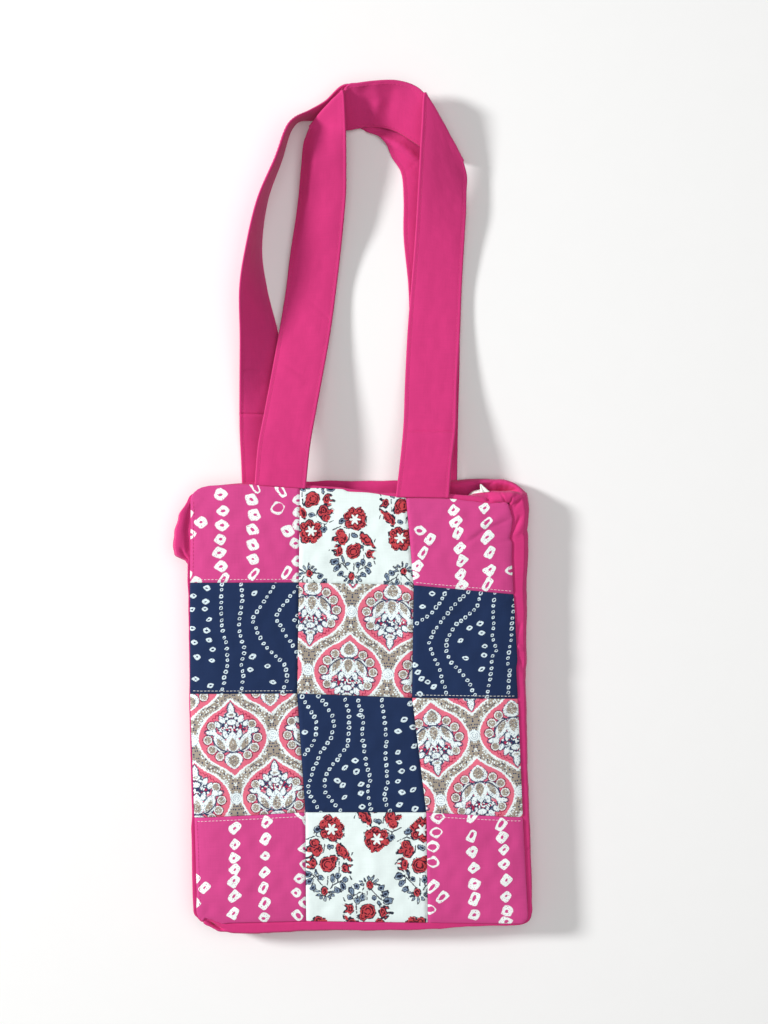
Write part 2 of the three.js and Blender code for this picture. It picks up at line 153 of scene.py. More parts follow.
# Mouth's left corner: place, lift, flat size, shares of the rims, and height, count and slant of gathers.
CORNER_X, CORNER_LIFT, CORNER_FLAT, CORNER_SHARES = -133.5, 0.5, (18, 34), (0, 0.45, 0.6, 1)
CORNER_GATHERS = ((0.8, 5, 2.5), (0.4, 11, -3))
ZIP_FRONT_SPAN, ZIP_BACK_SPAN = (-132, 115), (-132, 100)
ZIP_GAP, ZIP_WIDTH = 0.8, 7.0
# Where the front tape turns up: x, its run, rise and shift.
ZIP_TURN_X, ZIP_TURN_RUN, ZIP_TURN_RISE, ZIP_TURN_IN = 92.0, 10.0, 0.75, -3.8
COIL_PITCH, COIL_RADIUS, COIL_IN, COIL_STEPS, COIL_THREAD, COIL_SIDES = 1.35, 0.9, 0.3, 8, 0.32, 5
# Tape end: near corner, far corner and tip, share of its width at the tip, heights of its base and tip.
TAPE_END = np.array([(112.2, 191.6), (120.3, 192.0), (112.0, 198.6)])
TAPE_END_TIP, TAPE_END_HEIGHTS = 0.1, (26.0, 24.0)

# Strap edges from the left end to the right end: outer x, y, z and inner x, y, z.
# A fold has its outer and inner corner, the way it faces, and shares cut off at the corners.
STRAP_FRONT_LEFT_LEG = [
    (-93, 198.5, 31, -48, 195.4, 31), (-90, 234, 30.5, -44, 234, 30.5), (-85.5, 260, 26, -39, 264, 26),
    (-79, 298, 18, -32, 304, 18), (-73, 334, 12, -26, 340, 12), (-66, 378, 8.5, -20.5, 382, 9),
    (-62, 412, 8, -16.5, 415, 12), (-57.5, 441, 9, -13.5, 443, 17.5),
    (-54.5, 463, 10.5, -11.6, 464.8, 20), (-51.5, 493, 15, -11.2, 495.8, 24.5),
    (-49.3, 513, 16.5, -11.6, 527, 28.5),
]
STRAP_FRONT_LEFT_FOLD = ((-48.0, 522.6, 18), (-12.0, 557.0, 33), (-0.74, 0.67, 0), (0.12, 0.03))
STRAP_FRONT_BAND = [
    (-8.5, 527.7, 5.5, -8, 562, 32.5), (0, 529.2, 5.5, 0, 563, 33), (13, 530.7, 5.5, 14, 565, 32.5),
    (34, 526.7, 6, 34, 566, 31), (60, 510.9, 7, 48, 563, 30), (76, 503, 9, 55.6, 558.8, 30.4),
]
STRAP_FRONT_RIGHT_FOLD = ((100.9, 489.1, 12.5), (59.4, 556.3, 32.0), (0.87, 0.49, 0), (0.11, 0.03))
STRAP_FRONT_RIGHT_LEG = [
    (99.8, 483, 12.8, 58.9, 526, 30.6), (99.3, 468, 13.2, 57.8, 508, 29.3), (99, 452, 13, 56.5, 482, 27),
    (97, 416, 9.5, 53.5, 428, 14.5), (95, 378, 7, 50, 383, 8), (93.5, 339, 8.5, 46.5, 339, 8.5),
    (90.5, 290, 15, 44, 290, 15), (89, 250, 23, 42.5, 252, 23), (85, 219, 30, 39.5, 221, 30),
    (82.5, 186.9, 31, 35.5, 187.5, 31),
]
STRAP_BACK = [
    (-107, 200.3, 1.9, -61.5, 200.3, 1.9), (-107.6, 220, 3.5, -63.5, 221, 1.8),
    (-108.7, 249.5, 8, -66, 249.5, 1.8), (-108, 285.5, 18, -69.5, 286.5, 1.8),
    (-106.8, 330, 30, -73.5, 333, 1.6), (-106.2, 378, 40, -85, 379.5, 1.4),
    (-100.3, 413.5, 43.5, -90, 416.5, 1.2), (-89.7, 456.5, 44.5, -84.5, 463, 1.2),
    (-74, 493, 44.5, -71.5, 500, 1.2), (-63.2, 521.5, 44.5, -62, 529, 1.2),
    (-57, 530, 39, -55, 536.5, 1.2), (-44, 540, 26, -44, 537.5, 1.4), (-29.5, 550, 21.5, -21, 536.5, 1.6),
    (-12, 564, 24, -5, 533.5, 1.8), (13, 561, 20, 7, 528, 1.8), (43.5, 558, 17, 23, 521, 1.8),
    (66.5, 531, 10, 32, 503, 1.8), (82.5, 499.5, 4, 40.5, 489, 1.6), (88, 463, 1.6, 43, 465, 1.6),
    (88, 426, 1.6, 43, 430, 1.6), (92.5, 379.5, 1.6, 47.5, 381.5, 1.6), (93.5, 324, 1.6, 48.5, 324, 1.6),
    (92, 259, 1.6, 47, 259, 1.6), (91, 200.6, 1.9, 46, 200.6, 1.9),
]
FOLD_RADIUS, FOLD_CORNER = 3.2, (0.2, 0.4)
STRAP_WIDTH, STRAP_CROSS_STEP, STRAP_STOPS = 45.0, 2.6, (0, 0.4, 1.0, 1.8, 2.6, 3.4, 4.4)
# Stitched channel: place, its column of the mesh, depth, half width, and rise of the cloth beside it.
CHANNEL_IN, CHANNEL_COLUMN, CHANNEL_DEPTH, CHANNEL_HALF, CHANNEL_RISE = 2.6, 4, 0.22, 0.8, 0.3
RISE_START, SOFT_START, SOFT_RUN = 3.0, 2.0, 8.0
# Join across a strap: depth, half width, step and its run.
JOIN_DIP, JOIN_HALF, JOIN_STEP, JOIN_RUN = 1.0, 0.8, 0.6, 1.6
# Its y, and the x that it lies beyond.
STRAP_FRONT_JOIN, STRAP_BACK_JOIN = (247.0, 20.0), (264.0, -60.0)
# Ridge along the front strap's left leg near its top: y, share across, lift.
LEG_RIDGE = np.array([
    (380, 0.05, 0), (436, 0.18, 4), (470, 0.28, 7), (493, 0.32, 8), (515, 0.36, 5), (528, 0.45, 0),
])
LEG_SHARE = 0.42

# Stitches: length, gap and thread radius, and shares of length, lift and radius along one.
STRAP_STITCH, TOPSTITCH_SIZE, STITCH_SIDES = (2.7, 0.9, 0.2), (2.5, 0.9, 0.27), 6
STITCH_SHARES = np.array([0, 0.14, 0.5, 0.86, 1])
STITCH_LIFTS = np.array([-0.5, 0.35, 0.6, 0.35, -0.5])
STITCH_RADII = np.array([0.4, 0.95, 1, 0.95, 0.4])
ALONG, LINE_STEP = np.linspace(0.02, 0.98, 160), 0.002
# Rows of topstitching: name, thread, cloth, and patch row, column and shares of each.
TOPSTITCH = [
    ("pink_topstitch", "pale_thread", "pink",
     [(0, 0, ALONG, 0.966), (0, 2, ALONG, 0.966), (3, 0, ALONG, 0.034), (3, 2, ALONG, 0.034)]),
    ("navy_topstitch", "white_thread", "navy", [(1, 0, ALONG, 0.972), (1, 2, ALONG, 0.972)]),
    ("edge_topstitch", "thread", "pink",
     [(0, 0, 0.028, np.linspace(0.16, 0.98, 160)), (3, 0, 0.028, np.linspace(0.02, 0.84, 160))]),
]

# Folds as lines in chart units, with half width and height in millimetres, and the level of each set.
GUSSET_LEVEL, STRIP_LEVEL, MOUTH_LEVEL, STRAP_FRONT_LEVEL, STRAP_BACK_LEVEL = 26, 29, 30, 15, 10
PANEL_FOLDS = [
    ([(463, 546), (485, 530), (511, 519)], 2.2, -0.9),
    ([(466, 538), (486, 524), (511, 512)], 5.0, 1.0),
    ([(494, 543), (512, 541)], 2.0, -0.5),
    ([(432, 621), (447, 617), (464, 611)], 2.5, -0.6),
    ([(196, 506), (214, 520), (230, 526)], 7.0, -0.8),
    ([(237, 888), (252, 893), (272, 894)], 2.5, -0.4),
    ([(262, 905), (268, 914), (274, 920)], 2.0, -0.4),
    ([(196, 640), (214, 650), (232, 648)], 8.0, -0.7),
    ([(420, 880), (450, 890), (480, 886)], 9.0, 0.7),
]
GUSSET_FOLDS = [
    ([(190, 505), (187, 530), (190, 558)], 2.2, -2.2),
    ([(181, 548), (185, 556), (191, 562)], 1.6, -2.4),
    ([(184, 512), (180, 535), (178, 552)], 3.5, 1.0),
    ([(511, 533), (516, 525), (521, 515)], 1.6, -1.6),
    ([(514, 536), (519, 530), (523, 520)], 2.4, 1.1),
    ([(508, 503), (514, 508), (520, 500)], 1.5, -1.0),
    ([(513, 649), (518, 646), (524, 649)], 1.6, 1.6),
    ([(511, 640), (516, 634), (521, 622)], 2.0, -1.2),
    ([(515, 655), (521, 662), (525, 676)], 2.0, -0.9),
    ([(523, 848), (528, 848), (533, 848)], 1.0, -0.8),
    ([(208, 920), (215, 924.5), (224, 929.5)], 1.3, -4.0),
    ([(202, 921), (212, 926), (220, 931)], 2.0, 1.0),
]
STRIP_FOLDS = [([(486, 500.5), (488, 500), (490, 499.5)], 1.3, -3.2)]
MOUTH_FOLDS = [
    ([(500, 492), (504, 499), (507, 504)], 0.9, -1.2),
    ([(508, 506), (511, 501), (512, 497)], 0.8, -1.4),
    ([(509, 507), (514, 505), (520, 499)], 0.8, -0.8),
    ([(504, 492), (512, 490.5), (520, 487)], 0.9, -1.1),
    ([(507, 495), (514, 494), (521, 490)], 1.4, 0.7),
    ([(485, 500.5), (488, 500), (491, 499.5)], 1.2, -2.6),
]
STRAP_FRONT_FOLDS = [
    ([(303, 293), (316, 306), (331, 321)], 1.3, -0.5),
    ([(281, 361), (293, 370), (307, 379)], 1.5, -0.4),
    ([(284, 368), (294, 377), (304, 386)], 5.0, 0.5),
    ([(304, 318), (316, 332), (324, 345)], 7.0, 0.6),
    ([(443, 380), (443, 392), (444, 400)], 0.8, -0.35),
    ([(374, 88), (379, 102), (371, 122)], 4.5, -1.3),
    ([(362, 90), (366, 104), (360, 124)], 5.0, 1.0),
    ([(392, 90), (390, 106), (386, 120)], 5.0, 0.8),
]
STRAP_BACK_FOLDS = [
    ([(405, 241), (410, 243), (414, 243)], 0.8, -0.5),
    ([(364, 130), (384, 136), (402, 146), (424, 164)], 3.0, 5.0),
    ([(374, 121), (390, 125), (408, 132), (430, 149)], 6.0, -6.0),
    ([(408, 170), (412, 165), (417, 158)], 1.0, -0.5),
    ([(410, 220), (412, 215), (416, 208)], 1.0, -0.4),
    ([(242, 372), (250, 371), (262, 373)], 1.5, -0.6),
]

# Right end of the mouth: sections from the front seam over the gathers and the back rim to the back seam.
# Each has its foot, its direction in degrees, and the distance and height of its marks.
MOUTH_END = [
    ((138.3, 181.0), 35, [(0, 28.6), (3.5, 30.5), (8, 30.5), (12, 29), (14.5, 26.5), (17, 22), (18.5, 16),
                          (16.5, 8.5), (13, 3)]),
    ((137.0, 182.3), 65, [(0, 29.5), (3, 31.8), (7, 31.6), (10.5, 27.5), (11.4, 9), (16.6, 16.5),
                          (18.5, 13), (18, 8), (15.5, 3)]),
    ((134.3, 182.5), 90, [(0, 30), (2.7, 32), (6, 32), (9.3, 27), (9.3, 4.5), (18.4, 14.8), (20.3, 12),
                          (20, 7.5), (17.5, 3)]),
    ((126.9, 183.0), 90, [(0, 30), (2.2, 31.2), (5, 30.3), (8.8, 26), (8.7, 6), (18, 14.5), (20, 11),
                          (19.7, 6.5), (17.5, 3.2)]),
    ((118.7, 184.0), 90, [(0, 28.4), (1.3, 28.2), (3.2, 27), (8.2, 23.6), (8.2, 5.5), (17.2, 13),
                          (18.8, 9), (18.6, 5.5), (17.2, 3.4)]),
]
MOUTH_MARKS = np.array([0, 0.12, 0.25, 0.34, 0.4, 0.47, 0.6, 0.8, 1])
MOUTH_WIDTH, MOUTH_FOLD_FADE, MOUTH_FOLD_RISE = 34.0, (0.7, 0.1), 0.06

# Tie-dyed dots by patch: half length, half width, turn in degrees, open share, places in chart units.
DOTS = {
    (0, 0): [
        (7.0, 6.0, 5, 0.22, [(221, 494.5), (223, 511), (222, 525.5), (220.5, 539.5), (219.5, 552.5),
                             (221, 566.5), (200.5, 522.5)]),
        (7.4, 6.2, -22, 0.2, [(251.5, 499.5), (254.5, 515), (252.5, 529.5), (253, 545), (253, 559),
                              (288, 531)]),
        (8.6, 4.6, 55, 0.45, [(254, 574), (286.5, 572.5), (223.5, 579.5)]),
        (8.6, 4.6, -55, 0.5, [(281, 491), (255, 487)]),
        (7.4, 6.6, 20, 0.5, [(278, 508)]),
        (6.5, 6.0, 10, 0.25, [(295.5, 543), (298.5, 500), (299, 512), (298.5, 525), (298, 561),
                              (297.5, 578.5), (187.5, 514), (190.5, 534), (187, 574.5), (196, 582)]),
    ],
    (0, 2): [
        (6.8, 5.6, 40, 0.25, [(454.5, 496.5), (453.5, 510.5), (484.5, 508), (417.5, 566)]),
        (7.6, 5.4, 50, 0.22, [(456, 522), (459.5, 548), (461.5, 561), (460.5, 574.5), (461.5, 585.5),
                              (430, 539), (490, 570)]),
        (8.6, 5.2, 58, 0.25, [(457.5, 533), (487, 537.5), (490, 552)]),
        (8.6, 4.6, 52, 0.35, [(486.5, 523), (487.5, 584), (423, 552.5)]),
        (6.4, 5.0, 0, 0.3, [(420.5, 530.5), (413.5, 575.5), (511, 570.5)]),
    ],
    (3, 0): [
        (8.0, 5.6, 52, 0.25, [(235, 827.5), (234, 896.5), (233.5, 913), (234, 881), (264.5, 872),
                              (204.5, 888)]),
        (6.4, 5.4, 45, 0.25, [(235, 844), (234, 858), (235, 869)]),
        (7.6, 5.6, 62, 0.3, [(266.5, 822), (265.5, 838.5), (263.5, 887.5), (264.5, 903.5)]),
        (5.8, 5.4, 10, 0.22, [(265, 855.5), (264, 917.5), (299.5, 878), (296, 892)]),
        (6.4, 6.0, 45, 0.22, [(195, 879), (195.5, 903.5)]),
        (7.4, 5.6, -45, 0.4, [(307, 821), (305, 849), (305, 864.5), (305, 903.5), (297.5, 915.5),
                              (301, 813.5)]),
    ],
    (3, 2): [
        (8.0, 5.4, 58, 0.35, [(471.5, 835.5), (501, 825), (474.5, 898.5), (471.5, 817)]),
        (6.6, 5.6, 45, 0.25, [(472.5, 851), (473.5, 867.5), (502, 837), (504, 849.5), (504, 864),
                              (506, 880), (506, 896.5)]),
        (7.0, 6.4, 20, 0.22, [(474, 915), (507, 911), (506, 922.5), (474.5, 883.5)]),
        (6.8, 6.0, 0, 0.45, [(438, 817.5), (436.5, 832), (433, 846), (433, 861.5), (430, 909.5)]),
        (8.4, 5.0, 50, 0.4, [(432, 886.5), (442, 897)]),
    ],
}
# Ranges of motifs. Dots: size, turn, opening, its place, taper. Rings: the same, with width after turn.
DOT_RANGES = ((0.92, 1.08), (-9, 9), (1.0, 1.5), (-0.12, 0.12), (-0.3, 0.3))
LINE_RING = ((1.85, 2.5), (15, 60), (0.72, 0.95), (0.34, 0.56), (-0.1, 0.1), (-0.2, 0.2))
STRAY_RING = ((3.1, 3.9), (-15, 40), (0.62, 0.82), (0.25, 0.42), (-0.1, 0.1), (-0.2, 0.2))
RING_PITCH, RING_SHAKE, PATCH_SEED = 5.9, (-0.5, 0.5), 100
# Scale and roundness of dots that lie level, of turned dots, and of rings.
LEVEL_DOT, TURNED_DOT, LEVEL_TURN, RING_FORM = (0.95, 1.4), (0.81, 4.0), 30, 1.5

# Rings tied along lines, and single larger rings, in chart units.
RING_LINES = {
    (1, 0): [
        [(222, 584), (221, 611), (222, 625), (227, 646), (228, 664), (225, 675), (221, 698)],
        [(241, 584), (243, 601), (238.5, 623), (241.5, 639), (245, 652), (241, 665), (244, 675),
         (240, 698)],
        [(276, 582), (264.5, 601), (257.5, 611), (252.5, 619), (258, 634.5), (267.5, 648), (280, 659),
         (286, 666.5), (287.5, 677), (283.5, 690), (280, 698)],
        [(301, 582), (287, 601), (276.5, 614.5), (276.5, 620.5), (284.5, 632), (295, 649), (301, 664)],
        [(301, 611), (294.5, 619.5), (301, 632)],
    ],
    (1, 2): [
        [(448, 588), (439.5, 603), (430, 614.5), (418.5, 622.5), (411, 628)],
        [(468, 592), (457.5, 601.5), (445, 616), (432, 633.5), (429, 643.5), (432.5, 654), (438.5, 666.5),
         (442, 679.5), (448, 698)],
        [(482, 588), (477, 607), (464.5, 617.5), (454, 626), (447, 638.5), (446.5, 651.5), (451.5, 663),
         (465.5, 677), (477, 698)],
        [(495, 588), (493, 610), (494, 626), (491.5, 636), (497, 649), (491.5, 658), (491.5, 669),
         (487, 698)],
        [(515, 594), (512, 623), (510.5, 643), (507, 663), (509.5, 671), (508, 698)],
    ],
    (2, 1): [
        [(299, 692), (308.5, 706.5), (316.5, 721), (317, 731), (314, 742), (303, 756)],
        [(314, 692), (326, 705), (333, 717.5), (334.5, 725), (331.5, 737), (320.5, 753), (313, 770),
         (308, 784.5), (309, 793), (322, 814)],
        [(343, 694), (349, 711.5), (349, 731.5), (348.5, 744.5), (339, 757.5), (328, 771), (324, 783),
         (326.5, 795), (344, 813)],
        [(357, 694), (363, 722), (362, 733), (364.5, 750.5), (367, 768.5), (371, 779.5), (367, 788),
         (372, 813)],
        [(381, 694), (385, 726), (386.5, 737.5), (385, 756.5), (387, 772), (387.5, 783.5), (384, 798),
         (391, 813)],
    ],
}
RING_STRAYS = {
    (1, 0): [(193.5, 596), (207, 588), (206, 601.5), (205, 609), (209, 619.5), (207, 630.5), (192, 609.5),
             (192, 628.5), (194.5, 642.5), (209, 640), (212.5, 649.5), (197, 657), (212, 660.5),
             (195.5, 679), (210.5, 685.5), (252.5, 656.5), (267.5, 666), (250.5, 669.5), (273, 682),
             (254.5, 593)],
    (1, 2): [(432, 593.5), (422.5, 606.5), (460.5, 640.5), (465.5, 658), (469.5, 628), (480, 623.5),
             (481.5, 633), (484.5, 646), (484, 655), (481.5, 669), (415, 665), (418, 672), (421.5, 678.5),
             (427.5, 682), (434, 686.5), (420, 693.5)],
    (2, 1): [(410.5, 703.5), (404, 719.5), (413, 727), (398, 731), (414, 746), (398, 752), (399, 762),
             (413, 768), (401.5, 771), (398, 781), (413, 789.5), (402, 792), (399.5, 804.5), (415, 808.5),
             (305, 732), (355, 760.5), (356.5, 771.5), (345, 767.5), (337.5, 780.5), (343, 785),
             (344.5, 797), (361, 784), (361, 793), (362, 806.5), (360, 715)],
}

# Block-printed sprigs, and one medallion of each lattice: place in chart units, turn in degrees, scale.
FIGURES = {
    (0, 1): [(354, 546.5, 0, 1.0), (312, 504, 180, 1.0), (307, 603, 180, 1.0), (401, 511, 180, 1.0),
             (401, 601, 180, 1.0), (354, 660, 0, 1.0)],
    (3, 1): [(329, 858.5, -3, 1.1), (378, 809, 180, 1.1), (367, 917, 180, 1.1), (420.5, 859.5, -1, 1.1),
             (319, 960, -3, 1.1), (412, 960, -3, 1.1)],
    (1, 1): [(348, 672, -3.3, 1)],
    (2, 0): [(232.7, 737.8, 183.8, 1)],
    (2, 2): [(480.5, 795.7, 6, 1)],
}

# Sprig shapes in chart units about the middle of the sprig: x, y, half width, half height, turn in degrees.
SPRIG_RED = [
    (1.2, 28, 8.4, 9.2, 0), (8.6, 29.6, 3.6, 4.6, 0), (5.6, 35.4, 4.6, 3.8, 20),
    (-2.4, 36, 4.6, 3.6, -10), (-6.8, 30.6, 3.6, 4.8, 0), (-5, 22.4, 4.2, 4.0, 0),
    (2.6, 19.6, 4.6, 3.6, 0), (8, 22.6, 3.8, 4.2, 0), (-13.7, 13.4, 4.4, 4.2, 0),
    (-17.1, 8, 4.8, 2.4, 20), (-11.6, 6.1, 4.4, 4.8, 10), (-8.8, 9.2, 2.6, 4.2, 20),
    (8.7, 9.2, 2.8, 5.6, 10), (13, 6.4, 4.0, 6.2, 32), (18.4, 1.4, 1.5, 3.6, 38),
    (-14.4, -4.5, 3.3, 5, 0), (-18.6, -3.6, 3, 0.9, 0), (-17, 0.6, 2.6, 1.1, 25),
    (-17.5, -8.6, 2.6, 1.1, -28), (-0.7, -5.1, 7.2, 7.0, 0), (3.5, 0, 4, 3.6, 0),
    (15.3, -7.5, 3.1, 4.4, -10), (18.6, -5.4, 2.4, 1, 20), (18.4, -10.4, 2.2, 1, -30),
    (-2.5, -29.6, 3, 3.7, 0),
]
SPRIG_LEAF = [
    (-11.9, 25.8, 3.2, 2.6, 40), (0.5, 11, 2.9, 1.9, -15), (-19.2, -15.1, 4, 2.9, 10),
    (-16.8, -21.4, 3.5, 2.3, 40), (-13.1, -26.9, 3, 2.1, 35), (-6.5, -17.5, 2.1, 2.0, 0),
    (-11, -13, 1.1, 2.4, 20), (4.1, -18.1, 2.0, 3.1, -5), (8.7, -15.4, 2.3, 2.6, 10),
    (15.3, -18.1, 2.2, 2.2, 0), (14.1, -24.2, 2.1, 3.8, 20), (9.3, -28.1, 2.8, 2.4, -20),
    (6.6, -0.4, 2, 1.7, 30), (-8, -33.2, 1.7, 0.9, 25), (-5.3, -35.4, 0.9, 1.5, -30),
    (-1.6, -36.2, 0.8, 1.8, 0), (2.4, -35, 0.8, 1.7, 28), (5.6, -33, 1.8, 0.8, -28), (5, -30, 2, 0.7, 10),
    (-9, -30, 2, 0.7, -8),
]
# Sprig lines in chart units: from x, y to x, y.
SPRIG_LINES = [
    (-12.5, 22.8, -12.8, 20.5), (-12.8, 20.5, -21.3, 16.5), (-12.8, 20.5, -5.6, 17.4),
    (9.3, 0.4, 9.4, -5), (9.8, -7, 9.9, -11.5), (-0.1, -16, -0.2, -23.5), (-2.8, -26.3, -12.8, -16),
    (-12.8, -16, -17, -14.4), (2.9, -26.9, 4.7, -23.9), (4.7, -23.9, 13.6, -18.6), (4.1, -21, 4.7, -23.9),
    (8.7, -18, 9.4, -21), (12, 29, 12.6, 21), (-15.5, -20.6, -12.6, -16.6), (20, -14.6, 21.4, -17.6),
    (-4.6, 12.6, -5.2, 6.6), (-9.6, 3.2, -8.4, 6.4), (21.6, 8, 20.4, 4.6),
]
STEM_HALF = 0.5
# Dark drawing in the red: ink, depth, half width, and the mottling that it fades over.
SPRIG_DRAWING = [
    ("ink", 0.0, 0.55, 0.4, 0.46), ("maroon", -2.0, 0.65, 0.6, 0.54), ("maroon", -4.2, 0.65, 0.4, 0.46),
]
STAR_CENTRE, STAR_POINTS, STAR_POINT, STAR_RADIUS = (0.9, 27.0, 0), 6.0, 1.7, 4.0
HOLE_SCALE, STAIN = (0.9, 1.15, 0), 0.1
SLUB_SCALES, PATCHY_SCALE = ((0.05, 1.6, 1), (1.6, 0.05, 1)), 0.035
THREAD_PITCH, WEAVE_DEPTH = 0.62, 0.12

# Medallion shapes on one side of its axis, in chart units about its centre. Petals are pointed below.
MEDALLION_PETALS = [
    (0, 20.6, 8.4, 10.2, 180), (0, 5.6, 6.8, 12.4, 0), (11.6, 5.8, 5.5, 12.8, 24),
    (6.6, -3.4, 2.4, 5.4, 14), (17.4, -5.6, 2.2, 5.0, 40), (0, -27.4, 3.0, 7.4, 0),
    (8.8, -17.8, 2.6, 5.0, 30), (13.2, -13.4, 2.2, 4.4, 36),
]
MEDALLION_BLOBS = [
    (21.4, -6.2, 3.8, 2.0, -12), (17.4, -7.4, 1.8, 2.6, 15), (0, -15.4, 4.2, 2.7, 0),
    (0, -22.6, 4.6, 2.6, 0), (4.6, -19.2, 1.7, 1.3, 0), (5.4, -12.6, 1.4, 1.8, 0),
]
MEDALLION_BEADS = [
    (13.3, 17.4, 4.1, 4.1, 0), (20.4, 10.4, 4.3, 4.3, 0), (24, 0.8, 4.2, 4.2, 0),
    (19.4, -12.4, 4.1, 4.1, 0),
]
PETAL_HEARTS = [(0, 21.6, 5.2, 7.4, 180), (0, 7.6, 3.9, 8.2, 0), (11.2, 7.6, 3.1, 8.8, 24)]
BEAD_HEARTS = [
    (13.3, 17.4, 3.3, 3.3, 0), (20.4, 10.4, 3.5, 3.5, 0), (24, 0.8, 3.4, 3.4, 0),
    (19.4, -12.4, 3.3, 3.3, 0), (0, -22.6, 2.4, 1.2, 0),
]
MEDALLION_CROWD = [
    (0, -10, 14.5, 6.4, 0), (8, -2.2, 2.0, 4.6, -14), (6.4, -16.4, 5.6, 4.4, 0), (3.6, -22, 3.6, 3.2, 0),
]
PETAL_ROUND, RIBBON_REACH, MEDALLION_FILL = 0.62, 33.0, (1 / 1.04, 1 / 1.02, 0)
FAN_SHIFT, FAN_SCALE = (0, 3.0, 0), (1 / 19.5, 1 / 17.0, 0)
ROSE_RADIUS, ROSE_RINGS = 5.9, (5.6, 3.6, 1.8)
# Half width of a medallion by share of its half height.
MEDALLION_SIDE = [(0, 0.857), (0.18, 0.825), (0.39, 0.712), (0.6, 0.525), (0.78, 0.24), (1, 0)]
MEDALLION_HALF_HEIGHT, MEDALLION_UNIT = 38.5, 40.0
LATTICE_WIDTH, LATTICE_HEIGHT = 80.0, 121.0

INK = {
    "pink": "D2478B", "dot": "F6FFFC", "navy": "1C2F55", "ring": "DFF1F7", "cream": "EAF7F5",
    "red": "C9454C", "maroon": "4A1526", "leaf": "7C91AB", "ink": "1E2438", "coral": "E56F87",
    "taupe": "A59A8C", "white": "EFFBFB", "crimson": "B02C50", "blue": "2B3A5E",
    "magenta": "D4377C", "thread": "DA3F83", "pale_thread": "F7E2E6", "zip": "F1F2EC", "floor": "F8F8F7",
}
PATCH_PRINTS = (
    ("pink", "floral", "pink"),
    ("navy", "ogee", "navy"),
    ("ogee", "navy", "ogee"),
    ("pink", "floral", "pink"),
)

# Stage in metres: lights with place, size and power.
LIGHT_TARGET, WORLD_LIGHT, FLOOR_HALF = (0, 0.17, 0), 0.22, 4.0
KEY_LIGHT, SKY_LIGHT = ((-3.55, 1.1, 2.1), 0.75, 172), ((0.3, 0.2, 2.4), 2.4, 26)


# Shared helpers.
def mix(a, b, t):
    return a + (b - a) * t


def smooth(t):
    t = np.clip(t, 0, 1)
    return t * t * (3 - 2 * t)


def between(t, start, start_run, end, end_run):
    """1 between two values, eased to 0 at both."""
    return smooth((t - start) / start_run) * smooth((end - t) / end_run)


def bell(away, width):
    """A bump of unit height."""
    return np.exp(-((away / width) ** 2))


def eased(table, column, at):
    """A column of a table at values of its first column, eased between rows."""
    keys, values = table[:, 0], table[:, column]
    k = np.clip(np.searchsorted(keys, at, side="right") - 1, 0, len(keys) - 2)
    return mix(values[k], values[k + 1], smooth((at - keys[k]) / (keys[k + 1] - keys[k])))


def chart(points, level=CHART_LEVEL):
    """Chart units to millimetres at a height above the floor."""
    scale = CHART_UNIT * (VIEW_HEIGHT - level) / (VIEW_HEIGHT - CHART_LEVEL)
    points = np.asarray(points, float)
    x = (points[..., 0] - PICTURE_CENTRE[0]) * scale + VIEW_FOOT[0]
    y = (PICTURE_CENTRE[1] - points[..., 1]) * scale + VIEW_FOOT[1]
    return np.stack([x, y], -1)


def unit(vectors):
    return vectors / np.maximum(np.linalg.norm(vectors, axis=-1, keepdims=True), 1e-9)


def grid(*parts):
    """Points from arrays of their coordinates."""
    return np.stack(np.broadcast_arrays(*parts), -1).astype(float)


def normals_of(points):
    return unit(np.cross(np.gradient(points, axis=0), np.gradient(points, axis=1)))


def run_of(line):
    """Distance of each point of a line along it."""
    return np.concatenate([[0], np.cumsum(np.linalg.norm(np.diff(line, axis=0), axis=1))])


def sample(at, run, line):
    """A line's points, or other values, at distances along it."""
    return np.stack([np.interp(at, run, column) for column in line.T], -1)


def ripples(x, y, *rows):
    """Smooth unevenness from seeded waves. Each row is its height, its size and its seed."""
    total = 0
    for height, size, seed in rows:
        rng = np.random.default_rng(seed)
        for _ in range(RIPPLE_WAVES):
            turn = rng.uniform(0, 2 * math.pi)
            rate = rng.uniform(*RIPPLE_RATES) / size
            phase = rng.uniform(0, 2 * math.pi)
            wave = np.sin(2 * math.pi * rate * (x * math.cos(turn) + y * math.sin(turn)) + phase)
            total = total + height / RIPPLE_PEAK * wave
    return total


def line_distance(x, y, line):
    """Distance to a line of points, and the share of the way along it."""
    best, share = np.full(x.shape, np.inf), np.zeros(x.shape)
    run = run_of(line)
    for k, length in enumerate(np.diff(run)):
        step = (line[k + 1] - line[k]) / length
        along = np.clip((x - line[k][0]) * step[0] + (y - line[k][1]) * step[1], 0, length)
        away = np.hypot(x - line[k][0] - step[0] * along, y - line[k][1] - step[1] * along)
        near = away < best
        best = np.where(near, away, best)
        share = np.where(near, (run[k] + along) / run[-1], share)
    return best, share


def folds(points, rows, level=CHART_LEVEL):
    """Height of drawn folds at points in plan."""
    x, y = points[..., 0], points[..., 1]
    total = np.zeros(x.shape)
    for line, width, height in rows:
        away, share = line_distance(x, y, chart(line, level))
        fade = np.clip(4 * share * (1 - share), 0, 1) ** 0.5
        total += height * bell(away, width) * fade
    return total


def stops(length, step, edge=EDGE_STOPS):
    """Shares of a length, closer together at both ends."""
    edge = np.array(edge, float)
    inner = np.linspace(edge[-1], length - edge[-1], max(2, int(round((length - 2 * edge[-1]) / step))))
    return np.concatenate([edge[:-1], inner, (length - edge[:-1])[::-1]]) / length


